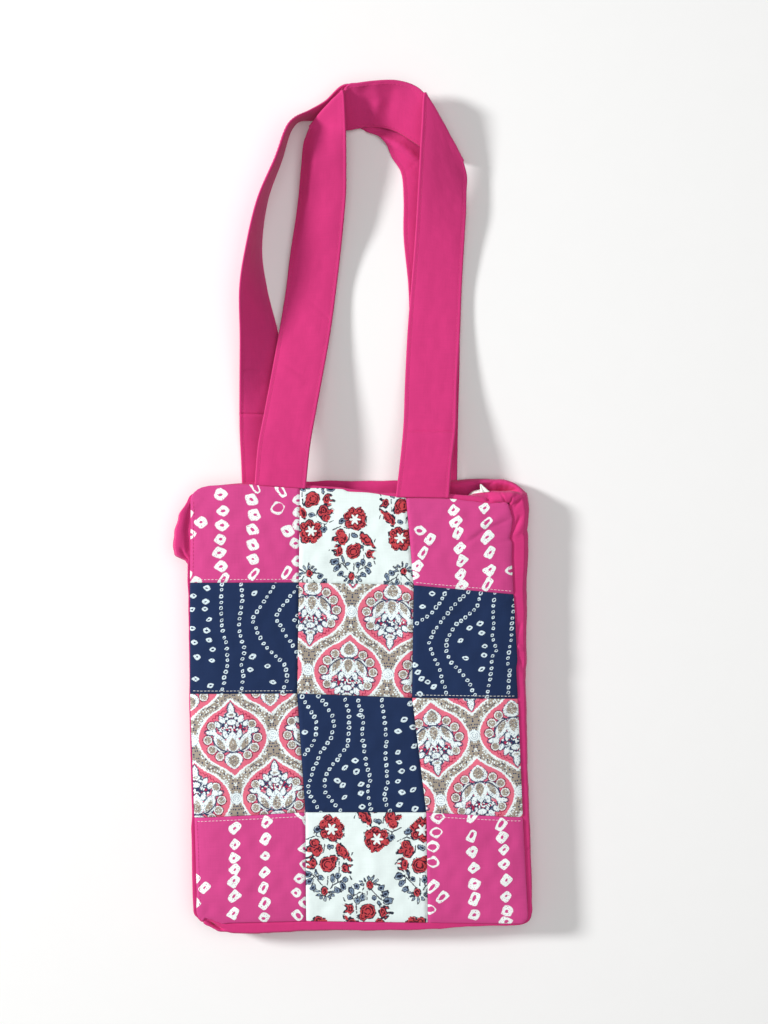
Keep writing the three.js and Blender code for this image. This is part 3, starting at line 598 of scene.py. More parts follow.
def catmull(points, counts):
    """Centripetal curve through points, with a number of steps for each span."""
    points = np.concatenate([[2 * points[0] - points[1]], points, [2 * points[-1] - points[-2]]])
    found = [points[1][None]]
    for k, count in enumerate(counts):
        p0, p1, p2, p3 = points[k:k + 4]
        d0, d1, d2 = (max(np.linalg.norm(b - a) ** 0.5, 1e-4) for a, b in ((p0, p1), (p1, p2), (p2, p3)))
        m1 = ((p1 - p0) / d0 - (p2 - p0) / (d0 + d1) + (p2 - p1) / d1) * d1
        m2 = ((p2 - p1) / d1 - (p3 - p1) / (d1 + d2) + (p3 - p2) / d2) * d1
        t = (np.arange(1, count + 1) / count)[:, None]
        found.append(p1 + t * m1 + t**2 * (3 * (p2 - p1) - 2 * m1 - m2) + t**3 * (2 * (p1 - p2) + m1 + m2))
    return np.concatenate(found)


def add_mesh(name, vertices, faces, material):
    """A smooth mesh object from vertices in millimetres, none of them under the floor."""
    vertices = vertices / METRE
    vertices[:, 2] = np.maximum(vertices[:, 2], 0)
    mesh = bpy.data.meshes.new(name)
    mesh.from_pydata(vertices.tolist(), [], faces)
    mesh.polygons.foreach_set("use_smooth", np.ones(len(faces), bool))
    mesh.materials.append(material)
    piece = bpy.data.objects.new(name, mesh)
    bpy.context.scene.collection.objects.link(piece)
    return piece


def add_layer(mesh, name, corners):
    uv = mesh.uv_layers.new(name=name)
    uv.data.foreach_set("uv", np.ascontiguousarray(corners, np.float32).ravel())


def place(piece, nodes=()):
    """Puts a piece on the body, in place of its nodes."""
    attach(piece, "root")
    if nodes:
        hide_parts(*nodes)


def sew(name, middle, flat, thickness, kind, nodes=(), motifs=None):
    """A closed cloth piece about a grid of points, with rounded edges."""
    rows, cols = middle.shape[:2]
    index = np.arange(rows * cols).reshape(rows, cols)
    loop = np.concatenate([index[:-1, 0], index[-1, :-1], index[:0:-1, -1], index[0, :0:-1]])
    points, normals = middle.reshape(-1, 3), normals_of(middle).reshape(-1, 3)
    tangent = unit(np.roll(points[loop], -1, axis=0) - np.roll(points[loop], 1, axis=0))
    hem = points[loop] + np.cross(tangent, normals[loop]) * thickness * HEM_SHARE
    vertices = np.concatenate([points + normals * thickness / 2, points - normals * thickness / 2, hem])
    quads = np.stack([index[:-1, :-1], index[1:, :-1], index[1:, 1:], index[:-1, 1:]], -1).reshape(-1, 4)
    size = rows * cols
    ring = 2 * size + np.arange(len(loop))
    after, ring_after = np.roll(loop, -1), np.roll(ring, -1)
    faces = np.concatenate([
        quads,
        quads[:, ::-1] + size,
        np.stack([ring, ring_after, after, loop], -1),
        np.stack([loop + size, after + size, ring_after, ring], -1),
    ])
    piece = add_mesh(name, vertices, faces.tolist(), MATERIALS[kind])
    plan = flat.reshape(-1, 2)
    corners = np.concatenate([plan, plan, plan[loop]])[faces]
    add_layer(piece.data, "cloth", corners)
    if motifs is not None:
        place_motifs(piece.data, corners, motifs)
    place(piece, nodes)
    return piece


def cut(points):
    """Flat width and length of a piece in metres, measured along its grid."""
    sizes = [np.linalg.norm(np.diff(points, axis=k), axis=-1).sum(k).mean() for k in (1, 0)]
    return tuple(float(size) / METRE for size in sizes)


def place_motifs(mesh, corners, motifs):
    """Each face takes the frame of its nearest motif.

    A motif is x, y, turn, half length and half width, opening and its place, form and taper.
    """
    centres = corners.mean(1)
    away = np.hypot(centres[:, None, 0] - motifs[None, :, 0], centres[:, None, 1] - motifs[None, :, 1])
    near = motifs[(away / motifs[None, :, 3]).argmin(1)]
    turn = np.radians(near[:, None, 2])
    dx, dy = corners[..., 0] - near[:, None, 0], corners[..., 1] - near[:, None, 1]
    across = (dx * np.cos(turn) + dy * np.sin(turn)) / near[:, None, 3]
    up = (dy * np.cos(turn) - dx * np.sin(turn)) / near[:, None, 4]
    add_layer(mesh, "motif", np.stack([across, up], -1))
    for name, column in (("motif_kind", 5), ("motif_form", 7)):
        add_layer(mesh, name, np.repeat(near[:, None, column:column + 2], corners.shape[1], 1))


# Materials.
def ink(name):
    code = INK[name]
    channels = [int(code[k:k + 2], 16) / 255 for k in (0, 2, 4)]
    linear = [c / 12.92 if c <= 0.04045 else ((c + 0.055) / 1.055) ** 2.4 for c in channels]
    return (*linear, 1.0)


class Paint:
    """A cloth or thread material. Methods add nodes and give back their outputs."""

    def __init__(self, name, ground, roughness=0.88, sheen=0.12):
        self.material = bpy.data.materials.new(name)
        self.material.use_nodes = True
        self.tree = self.material.node_tree
        self.colour = ink(ground)
        self.shader = self.tree.nodes["Principled BSDF"].inputs
        self.shader["Roughness"].default_value = roughness
        self.shader["Specular IOR Level"].default_value = 0.2
        self.shader["Sheen Weight"].default_value = sheen
        self.shader["Sheen Roughness"].default_value = 0.45

    def put(self, socket, value):
        if isinstance(value, bpy.types.NodeSocket):
            self.tree.links.new(value, socket)
        elif value is not None:
            socket.default_value = value

    def node(self, kind, *values, **settings):
        node = self.tree.nodes.new("ShaderNode" + kind)
        for key, value in settings.items():
            setattr(node, key, value)
        for socket, value in zip(node.inputs, values):
            self.put(socket, value)
        return node.outputs

    def math(self, operation, *values):
        return self.node("Math", *values, operation=operation)[0]

    def vector(self, operation, *values):
        outputs = self.node("VectorMath", *values, operation=operation)
        return outputs[1] if operation in ("LENGTH", "DOT_PRODUCT") else outputs[0]

    def times(self, *values):
        product = values[0]
        for value in values[1:]:
            product = self.math("MULTIPLY", product, value)
        return product

    def least(self, values):
        best = None
        for value in values:
            best = value if best is None else self.math("MINIMUM", best, value)
        return best

    def above(self, value, level):
        return self.math("GREATER_THAN", value, level)

    def below(self, value, level):
        return self.math("LESS_THAN", value, level)

    def split(self, vector):
        return self.node("SeparateXYZ", vector)[:2]

    def join(self, x, y):
        return self.node("CombineXYZ", x, y, 0.0)[0]

    def ease(self, value, start, end, low=0.0, high=1.0):
        return self.node("MapRange", value, start, end, low, high, interpolation_type="SMOOTHSTEP")[0]

    def inside(self, distance, soft=0.35):
        return self.ease(distance, soft, -soft)

    def band(self, distance, middle, half, soft=0.3):
        away = self.math("ABSOLUTE", self.math("SUBTRACT", distance, middle))
        return self.inside(self.math("SUBTRACT", away, half), soft)

    def over(self, under, colour, mask, blend_type="MIX"):
        outputs = self.node("Mix", mask, data_type="RGBA", blend_type=blend_type)
        for socket, value in zip(outputs[0].node.inputs[6:8], (under, colour)):
            self.put(socket, value)
        return outputs[2]

    def lay(self, colour, *masks):
        """Prints an ink, or a mixed colour, where all the masks are 1."""
        colour = ink(colour) if isinstance(colour, str) else colour
        self.colour = self.over(self.colour, colour, self.times(*masks))

    def uv(self, name):
        return self.node("UVMap", uv_map=name)[0]

    def noise(self, where, scale, detail=2.0):
        return self.node("TexNoise", where, None, scale, detail, noise_dimensions="2D")

    def spots(self, where, scale, randomness=1.0):
        """Scattered spots: distance from the nearest, and a value of its own for each."""
        outputs = self.node("TexVoronoi", where, None, scale, voronoi_dimensions="2D")
        outputs[0].node.inputs["Randomness"].default_value = randomness
        return outputs[0], self.split(outputs[1])[0]

    def shaken(self, where, scale, reach):
        """Coordinates moved a little, so that printed edges are uneven."""
        offset = self.vector("SUBTRACT", self.noise(self.uv("cloth"), scale)[1], (0.5, 0.5, 0.5))
        return self.vector("ADD", where, self.vector("MULTIPLY", offset, (reach, reach, 0)))

    def turned(self, where, x, y, half_x, half_y, turn):
        """Coordinates in the frame of a shape, in its half sizes."""
        if not turn:
            scale, shift = (1 / half_x, 1 / half_y, 0), (-x / half_x, -y / half_y, 0)
            return self.vector("MULTIPLY_ADD", where, scale, shift)
        moved = self.vector("SUBTRACT", where, (x, y, 0))
        c, s = math.cos(math.radians(turn)), math.sin(math.radians(turn))
        across = self.vector("DOT_PRODUCT", moved, (c / half_x, s / half_x, 0))
        up = self.vector("DOT_PRODUCT", moved, (-s / half_y, c / half_y, 0))
        return self.join(across, up)

    def blob(self, where, *row):
        """Distance to an ellipse: x, y, half width, half height and turn in degrees."""
        size = min(row[2:4])
        return self.math("MULTIPLY_ADD", self.vector("LENGTH", self.turned(where, *row)), size, -size)

    def blobs(self, where, rows):
        return self.least(self.blob(where, *row) for row in rows)

    def petal(self, where, *row):
        """Distance to an ellipse that is pointed at its lower end."""
        size = min(row[2:4])
        side, up = self.split(self.turned(where, *row))
        high = self.times(self.math("MAXIMUM", up, 0.0), 1 / PETAL_ROUND)
        low = self.math("MINIMUM", up, 0.0)
        span = self.math("SQRT", self.math("MULTIPLY_ADD", side, side, self.times(high, high)))
        return self.math("MULTIPLY_ADD", self.math("MULTIPLY_ADD", low, low, span), size, -size)

    def petals(self, where, rows):
        return self.least(self.petal(where, *row) for row in rows)

    def stroke(self, where, x0, y0, x1, y1):
        """Distance to a straight line between two places."""
        reach = math.hypot(x1 - x0, y1 - y0) / 2
        turn = math.degrees(math.atan2(y1 - y0, x1 - x0))
        local = self.turned(where, (x0 + x1) / 2, (y0 + y1) / 2, 1, 1, turn or 0.01)
        local = self.vector("SUBTRACT", self.vector("ABSOLUTE", local), (reach, 0, 0))
        return self.vector("LENGTH", self.vector("MAXIMUM", local, (0, 0, 0)))

    def weave(self, uneven=0.045):
        """Finishes the cloth: slubs and mottling in its colour, plain weave in its surface."""
        cloth = self.uv("cloth")
        weft_slubs, warp_slubs = (
            self.noise(self.vector("MULTIPLY", cloth, scale), 1.0, 3.0)[0] for scale in SLUB_SCALES
        )
        slubs = self.math("ADD", weft_slubs, warp_slubs)
        patchy = self.noise(cloth, PATCHY_SCALE, 3.0)[0]
        level = self.math("ADD", self.times(slubs, 0.7), self.times(patchy, 0.6))
        level = self.ease(level, 0.6, 1.4, 1 - uneven, 1 + uneven)
        self.put(self.shader["Base Color"], self.over(self.colour, level, 1.0, "MULTIPLY"))
        across, along = (
            self.math("COSINE", self.times(value, math.pi / THREAD_PITCH)) for value in self.split(cloth)
        )
        over = self.math("MULTIPLY_ADD", self.times(across, along), 0.5, 0.5)
        warp = self.times(self.math("ABSOLUTE", across), over)
        weft = self.times(self.math("ABSOLUTE", along), self.math("SUBTRACT", 1.0, over))
        threads = self.math("ADD", self.math("MAXIMUM", warp, weft), self.times(slubs, 0.8))
        bump = self.node("Bump")[0].node
        for socket, value in (("Strength", 0.55), ("Distance", WEAVE_DEPTH / METRE), ("Height", threads)):
            self.put(bump.inputs[socket], value)
        self.put(self.shader["Normal"], bump.outputs[0])
        return self.material


def tied_print(name, ground, dot, shake):
    """Tie-dye: rounded pale shapes with the ground showing through the middle."""
    paint = Paint(name, ground)
    where = paint.shaken(paint.uv("motif"), shake, 0.42)
    open_share, wobble = paint.split(paint.uv("motif_kind"))
    form, taper = paint.split(paint.uv("motif_form"))
    x, y = paint.split(where)
    y = paint.times(y, paint.math("MULTIPLY_ADD", taper, x, 1.0))
    x, y = (paint.math("POWER", paint.math("ABSOLUTE", value), form) for value in (x, y))
    outer = paint.math("ADD", x, y)
    shape = paint.ease(outer, 1.12, 0.9)
    shifted = paint.vector("SUBTRACT", where, paint.join(wobble, wobble))
    hole = paint.vector("LENGTH", paint.vector("MULTIPLY", shifted, HOLE_SCALE))
    hole = paint.inside(paint.math("SUBTRACT", hole, open_share), 0.07)
    specks = paint.noise(paint.uv("cloth"), 0.9, 1.0)[0]
    hole = paint.math("MAXIMUM", hole, paint.ease(specks, 0.67, 0.71))
    stained = paint.over(ink(dot), ink(ground), paint.times(paint.ease(outer, 0.55, 1.0), STAIN))
    paint.lay(stained, shape)
    paint.lay(ground, shape, hole)
    return paint.weave(uneven=0.05)


def sprig_print(name):
    """Block print: red flowers and buds, grey leaves on thin stems, dark drawing inside the red."""
    paint = Paint(name, "cream")
    where = paint.shaken(paint.uv("motif"), 0.5, 1.3)
    cloth = paint.uv("cloth")
    patchy = paint.noise(cloth, 0.26, 1.0)[0]
    other = paint.noise(paint.vector("ADD", cloth, (37.0, 11.0, 0.0)), 0.24, 1.0)[0]
    red, leaf = paint.blobs(where, SPRIG_RED), paint.blobs(where, SPRIG_LEAF)
    lines = paint.math("SUBTRACT", paint.least(paint.stroke(where, *row) for row in SPRIG_LINES), STEM_HALF)
    drawn = paint.math("MULTIPLY_ADD", paint.math("SUBTRACT", other, 0.5), 2.4, red)
    dark_leaf = paint.math("MULTIPLY_ADD", paint.math("SUBTRACT", patchy, 0.5), 3.0, leaf)
    veins = paint.inside(paint.math("ADD", dark_leaf, 1.2))
    paint.lay("leaf", paint.inside(leaf))
    paint.lay("ink", paint.math("MAXIMUM", paint.band(dark_leaf, 0.1, 0.4), veins))
    paint.lay("ink", paint.inside(lines, 0.25), paint.ease(other, 0.34, 0.42))
    paint.lay("red", paint.inside(red))
    for shade, within, half, start, end in SPRIG_DRAWING:
        paint.lay(shade, paint.band(drawn, within, half), paint.ease(patchy, start, end))
    x, y = paint.split(paint.vector("SUBTRACT", where, STAR_CENTRE))
    angle = paint.times(paint.math("ARCTAN2", y, x), STAR_POINTS)
    reach = paint.math("MULTIPLY_ADD", paint.math("COSINE", angle), STAR_POINT, STAR_RADIUS)
    span = paint.math("SQRT", paint.math("ADD", paint.times(x, x), paint.times(y, y)))
    star = paint.math("SUBTRACT", span, reach)
    paint.lay("maroon", paint.band(star, 1.0, 0.5), paint.ease(other, 0.4, 0.5))
    paint.lay("cream", paint.inside(star, 0.4))
    return paint.weave(uneven=0.035)


def ogee_cell(paint, x, y, shift):
    """One of the two sets of medallions: side and height in it, depth within its outline, way to its rose."""
    side, up = (
        paint.math("MULTIPLY_ADD", paint.math("FRACT", paint.math("MULTIPLY_ADD", value, 1 / period, shift)),
                   period, -period / 2)
        for value, period in ((x, LATTICE_WIDTH), (y, LATTICE_HEIGHT))
    )
    side, height = paint.math("ABSOLUTE", side), paint.math("ABSOLUTE", up)
    outputs = paint.node("FloatCurve", 1.0, paint.times(height, 1 / MEDALLION_HALF_HEIGHT))
    mapping = outputs[0].node.mapping
    curve = mapping.curves[0]
    curve.points[0].location, curve.points[1].location = MEDALLION_SIDE[0], MEDALLION_SIDE[-1]
    for point in MEDALLION_SIDE[1:-1]:
        curve.points.new(*point)
    mapping.update()
    beyond = paint.math("MAXIMUM", paint.math("SUBTRACT", height, MEDALLION_HALF_HEIGHT), 0.0)
    width = paint.times(outputs[0], MEDALLION_UNIT)
    depth = paint.math("SUBTRACT", paint.math("SUBTRACT", width, side), beyond)
    depth = paint.times(depth, paint.ease(height, 4.0, 22.0, 1.0, 0.6))
    rose = paint.vector("LENGTH", paint.join(paint.math("SUBTRACT", side, LATTICE_WIDTH / 2), up))
    return side, up, depth, rose


def ogee_print(name):
    """Ogee lattice: speckled bands, white beaded edges and a crowned fan in each medallion."""
    paint = Paint(name, "taupe")
    where = paint.shaken(paint.uv("motif"), 0.8, 0.7)
    x, y = paint.split(where)
    cells = [ogee_cell(paint, x, y, shift) for shift in (0.5, 0.0)]
    (side_a, up_a, depth_a, rose_a), (side_b, up_b, depth_b, rose_b) = cells
    second = paint.above(depth_b, depth_a)
    side = paint.node("Mix", second, None, side_a, side_b)[0]
    up = paint.node("Mix", second, None, up_a, up_b)[0]
    depth, rose = paint.math("MAXIMUM", depth_a, depth_b), paint.math("MINIMUM", rose_a, rose_b)
    local = paint.vector("MULTIPLY", paint.join(side, up), MEDALLION_FILL)
    along = paint.times(paint.math("ARCTAN2", up, side), RIBBON_REACH)
    spot, kind = paint.spots(paint.join(depth, along), 0.46, 0.45)
    fine, fine_kind = paint.spots(where, 0.62)
    spot, fine_spot = paint.ease(spot, 0.36, 0.26), paint.ease(fine, 0.34, 0.24)
    edge = paint.math("ADD", depth, paint.times(fine, 1.1))

    # Speckled ribbon, its beaded edge and the coral ground with a scalloped line.
    paint.lay("white", spot, paint.above(kind, 0.64))
    paint.lay("blue", spot, paint.below(kind, 0.46))
    paint.lay("white", paint.ease(depth, -3.0, -2.5), paint.above(fine_kind, 0.5))
    paint.lay("white", paint.ease(edge, -1.3, -0.8))
    paint.lay("taupe", fine_spot, paint.band(depth, -2.0, 0.5), paint.above(fine_kind, 0.4))
    paint.lay("coral", paint.ease(edge, 0.5, 1.1))
    scallops = paint.math("MULTIPLY_ADD", paint.math("SINE", paint.times(along, 1.3)), 0.8, edge)
    paint.lay("crimson", paint.band(scallops, 4.6, 0.55), paint.ease(up, -6.0, -14.0))

    # Fan behind the flowers, and the small flowers crowded under it.
    arch = paint.vector("MULTIPLY", paint.vector("ADD", local, FAN_SHIFT), FAN_SCALE)
    arch = paint.vector("LENGTH", arch)
    paint.lay("white", paint.ease(arch, 1.0, 0.95), paint.ease(up, -6.0, -3.0), paint.above(kind, 0.3))
    speckle = paint.over(ink("blue"), ink("crimson"), paint.above(fine_kind, 0.38))
    speckle = paint.over(speckle, ink("white"), paint.above(fine_kind, 0.66))
    paint.lay(speckle, paint.inside(paint.blobs(local, MEDALLION_CROWD)))

    # Petals and beads, outlined, with their hearts.
    local = paint.shaken(local, 1.1, 1.8)
    petals = paint.math("MINIMUM", paint.petals(local, MEDALLION_PETALS), paint.blobs(local, MEDALLION_BLOBS))
    beads = paint.blobs(local, MEDALLION_BEADS)
    outlined = paint.over(ink("crimson"), ink("maroon"), paint.above(fine_kind, 0.4))
    paint.lay(outlined, paint.band(beads, 0.5, 0.45))
    paint.lay("blue", paint.band(petals, 0.4, 0.6), paint.above(kind, 0.15))
    paint.lay("white", paint.inside(paint.math("MINIMUM", petals, beads)))
    paint.lay("leaf", paint.inside(petals), fine_spot, paint.below(fine_kind, 0.42))
    hearts = paint.math("MINIMUM", paint.petals(local, PETAL_HEARTS), paint.blobs(local, BEAD_HEARTS))
    heart = paint.inside(hearts)
    paint.lay("taupe", heart)
    paint.lay("white", heart, fine_spot, paint.above(fine_kind, 0.6))
    paint.lay("blue", heart, fine_spot, paint.below(fine_kind, 0.34))
    paint.lay("blue", paint.band(arch, 1.0, 0.03, 0.02), paint.ease(up, -3.0, 1.0))

    # Rose where the ribbons meet.
    paint.lay("white", paint.inside(paint.math("SUBTRACT", rose, ROSE_RADIUS)))
    for radius in ROSE_RINGS:
        paint.lay("leaf", paint.band(rose, radius, 0.22), paint.ease(fine_kind, 0.25, 0.4))
    return paint.weave(uneven=0.04)


def grained(name, shade, scale, detail, darkest, edges=None, **finish):
    """Thread or paper: a grain between its shade and a darker one."""
    paint = Paint(name, shade, **finish)
    grain = paint.node("TexNoise", paint.node("TexCoord")[3], None, scale, detail)[0]
    if edges:
        grain = paint.ease(grain, *edges)
    paint.lay((*(c * darkest for c in ink(shade)[:3]), 1.0), grain)
    paint.put(paint.shader["Base Color"], paint.colour)
    return paint.material


def thread(name, shade):
    return grained(name, shade, 2600.0, 1.0, 0.72, (0.5, 0.62), roughness=0.7, sheen=0.3)


MATERIALS = {
    "pink": tied_print("pink_tied_cotton", "pink", "dot", 0.13),
    "navy": tied_print("navy_tied_cotton", "navy", "ring", 0.24),
    "floral": sprig_print("cream_block_print"),
    "ogee": ogee_print("ogee_print"),
    "magenta": Paint("magenta_cotton", "magenta").weave(),
    "zip": Paint("zip_tape", "zip").weave(uneven=0.03),
    "thread": thread("magenta_thread", "thread"),
    "pale_thread": thread("pale_thread", "pale_thread"),
    "white_thread": thread("white_thread", "zip"),
}


# Front and back panels.
def round_corners(x, y, u, v, radii):
    """Turns the square corners of a panel into arcs. Gives back distances from its sides and ends too."""
    side, end = np.minimum(u, 1 - u) * BACK_WIDTH, np.minimum(v, 1 - v) * BACK_HEIGHT
    radius = radii[(u >= 0.5) + 2 * (v >= 0.5)]
    dx, dy = np.maximum(radius - side, 0), np.maximum(radius - end, 0)
    share = np.where((dx > 0) & (dy > 0), 1 - np.maximum(dx, dy) / np.maximum(np.hypot(dx, dy), 1e-9), 0)
    return x + np.where(u < 0.5, dx, -dx) * share, y + np.where(v < 0.5, -dy, dy) * share, side, end


def front(u, v):
    """Front panel: u from left to right, v from rim to base."""
    u, v = np.broadcast_arrays(np.asarray(u, float), np.asarray(v, float))
    col = np.minimum(COLUMNS - 1, (u * COLUMNS).astype(int))
    row = np.minimum(ROWS - 1, (v * ROWS).astype(int))
    a, b = u * COLUMNS - col, v * ROWS - row
    x, y = (
        mix(mix(t[row, col], t[row, col + 1], a), mix(t[row + 1, col], t[row + 1, col + 1], a), b)
        for t in (SEAM_X, SEAM_Y)
    )
    y = y + np.where(row == 0, RIM_BOW[col] * np.sin(math.pi * a) * (1 - b), 0)
    x, y, side, end = round_corners(x, y, u, v, FRONT_CORNERS)
    x = x + LEFT_TURN * np.exp(-u * BACK_WIDTH / LEFT_TURN_RUN) * smooth(end / LEFT_TURN_FADE)
    x = x + eased(RIGHT_EDGE, 1, v) * np.exp(-(1 - u) * BACK_WIDTH / EDGE_FADE)
    y = y + eased(RIM_EDGE, 1, u) * np.exp(-v * BACK_HEIGHT / EDGE_FADE)
    y = y + eased(BASE_EDGE, 1, u) * np.exp(-(1 - v) * BACK_HEIGHT / EDGE_FADE)
    rise = (1 - np.exp(-side / CROWN_RUN)) * (1 - np.exp(-end / CROWN_RUN))
    z = RIM_HEIGHT + CROWN * rise - SAG * np.sin(math.pi * u) * np.sin(math.pi * v)
    return np.stack([x, y, z], -1)


def back(u, v):
    """Back panel, with the same shares."""
    u, v = np.broadcast_arrays(np.asarray(u, float), np.asarray(v, float))
    x, y, _, _ = round_corners((u - 0.5) * BACK_WIDTH, (0.5 - v) * BACK_HEIGHT, u, v, BACK_CORNERS)
    y = y - BACK_DROP * smooth(1 - u * BACK_WIDTH / BACK_DROP_RUN) * np.exp(-v * BACK_HEIGHT / BACK_DROP_RUN)
    return np.stack([x, y, np.full_like(x, BACK_LEVEL)], -1)


def panel_motifs(row, col):
    """Motif frames of one printed patch in millimetres."""
    rng = np.random.default_rng(PATCH_SEED + 10 * row + col)

    def drawn(ranges):
        return [rng.uniform(*span) for span in ranges]

    def ring(spot, ranges):
        size, turn, width, opening, hole, taper = drawn(ranges)
        return (*spot, turn, size, size * width, opening, hole, RING_FORM, taper)

    found = []
    for length, width, turn, opening, places in DOTS.get((row, col), []):
        scale, form = LEVEL_DOT if abs(turn) < LEVEL_TURN else TURNED_DOT
        for spot in places:
            size, turned, opened, hole, taper = drawn(DOT_RANGES)
            size = size * scale
            dot = (*spot, turn + turned, length * size, width * size)
            found.append((*dot, opening * opened, hole, form, taper))
    for line in RING_LINES.get((row, col), []):
        line = np.array(line, float)
        run = run_of(line)
        for at in np.arange(0, run[-1], RING_PITCH):
            at = at + rng.uniform(*RING_SHAKE)
            spot = [np.interp(at, run, line[:, k]) + rng.uniform(*RING_SHAKE) for k in (0, 1)]
            found.append(ring(spot, LINE_RING))
    found += [ring(spot, STRAY_RING) for spot in RING_STRAYS.get((row, col), [])]
    found += [(x, y, turn, scale, scale, 0, 0, 0, 0) for x, y, turn, scale in FIGURES.get((row, col), [])]
    found = np.array(found, float)
    found[:, :2] = chart(found[:, :2])
    found[:, 3:5] *= CHART_UNIT
    return found


def patch_surface(row, col, a, b):
    """Points of a patch with its seams, roll and folds, and its plan. Shares a across and b down."""
    a, b = np.broadcast_arrays(a, b)
    points = front((col + a) / COLUMNS, (row + b) / ROWS)
    x, y, height = (points[..., k] for k in range(3))
    flat = points[..., :2].copy()
    edges = (
        (a * PATCH_WIDTH, col > 0),
        ((1 - a) * PATCH_WIDTH, col < COLUMNS - 1),
        (b * PATCH_HEIGHT, row > 0),
        ((1 - b) * PATCH_HEIGHT, row < ROWS - 1),
    )
    for away, sewn in edges:
        height -= SEAM_DIP * bell(away, SEAM_RUN) if sewn else EDGE_ROLL * np.exp(-away / EDGE_RUN)
    calm = np.clip(np.minimum.reduce([away for away, _ in edges]) / CALM_RUN, 0, 1)
    height += calm * ripples(x, y, *PANEL_RIPPLES) + folds(points, PANEL_FOLDS)
    pucker = sum(bell(away - PUCKER_IN, PUCKER_IN) for away, sewn in edges if sewn)
    height += ripples(x, y, PUCKER_RIPPLE) * pucker
    return points, flat


def patch_shares(index, count, length):
    """Shares across a patch, drawn in a little where it is sewn to the next."""
    inset = SEAM_INSET / length
    return mix(inset if index else 0, 1 - inset if index < count - 1 else 1, stops(length, PATCH_STEP))


for row in range(ROWS):
    for col in range(COLUMNS):
        node = f"patch_row{row + 1}_{COLUMN_NAMES[col]}"
        a, b = patch_shares(col, COLUMNS, PATCH_WIDTH), patch_shares(row, ROWS, PATCH_HEIGHT)
        points, flat = patch_surface(row, col, a[None, :], b[:, None])
        kind = PATCH_PRINTS[row][col]
        piece = sew(node + "_cloth", points, flat, PATCH_CLOTH, kind, [node], panel_motifs(row, col))

points = back(stops(BACK_WIDTH, BACK_STEP)[None, :], stops(BACK_HEIGHT, BACK_STEP)[:, None])
points[..., 2] += BACK_LIFT + ripples(points[..., 0], points[..., 1], BACK_RIPPLE)
piece = sew("back_panel_cloth", points, points[..., :2], PLAIN_CLOTH, "magenta", ["back_panel"])


# Gusset.
def outline(panel, station):
    station = np.clip(station, 0, 3)
    u = np.clip(station - 1, 0, 1)
    v = np.where(station <= 1, station, np.clip(3 - station, 0, 1))
    return panel(u, v)


def gusset_surface(station, t):
    """Side wall points: stations around the bag, t from the front seam to the back seam."""
    ahead, behind = (
        outline(front, station + step) + outline(back, station + step)
        for step in (OUTLINE_STEP, -OUTLINE_STEP)
    )
    along = unit((ahead - behind) * (1, 1, 0))
    out = eased(GUSSET_SWELL, 1, station) * eased(GUSSET_SECTION, 1, t) - GUSSET_INSET
    out = out + between(station, *LEFT_SPAN) * LEFT_TURN * smooth(t / LEFT_TURN_SHARE)
    lip = eased(LEFT_LIP, 1, station) * np.clip(1 - ((t - LIP_AT) / LIP_HALF) ** 2, 0, 1)
    out = np.where(lip > 0, np.maximum(out, lip), out)
    down = station * BACK_HEIGHT
    uneven = ripples(down, t * RIPPLE_SPAN, GUSSET_RIPPLE) + ripples(down, t * GRAIN_SPAN, GUSSET_GRAIN)
    out = out + uneven * np.sin(math.pi * t) ** 2
    points = mix(outline(front, station), outline(back, station), t[..., None])
    points[..., 0] += along[..., 1] * out
    points[..., 1] -= along[..., 0] * out
    points[..., 2] = eased(GUSSET_SECTION, 2, t)
    seen = np.sin(math.pi * np.clip((t - FOLD_START) / FOLD_RUN, 0, 1))
    points[..., 2] += folds(points, GUSSET_FOLDS, GUSSET_LEVEL) * seen
    puff = PUFF_TOP * bell(t - PUFF_AT, PUFF_HALF) - PUFF_VALLEY * bell(t - VALLEY_AT, VALLEY_AT)
    points[..., 2] += between(station, *PUFF_SPAN) * puff
    return points


def gusset(node, start, end, side_length):
    """A side wall between two stations."""
    station = mix(start, end, stops((end - start) * side_length, GUSSET_STEP))[:, None]
    t = np.linspace(0, 1, GUSSET_ROWS)[None, :] ** GUSSET_CROWDING
    points = gusset_surface(station, t)
    flat = grid(t * GUSSET_WIDTH, station * BACK_HEIGHT)
    piece = sew(node + "_cloth", points, flat, PLAIN_CLOTH, "magenta", [node])


gusset("gusset_left", 0.0, LEFT_SEAM, BACK_HEIGHT)
gusset("gusset_bottom", LEFT_SEAM + SEAM_STATIONS, RIGHT_SEAM - SEAM_STATIONS, BACK_WIDTH)
gusset("gusset_right", RIGHT_SEAM, MOUTH_STATION, BACK_HEIGHT)


# Mouth: rim strips and gathered ends.
def strip_points(table, x, t):
    fold_y, fold_z, edge_y, edge_z = (eased(table, k, x) for k in (1, 2, 3, 4))
    return grid(x, mix(fold_y, edge_y, t), mix(fold_z, edge_z, t))


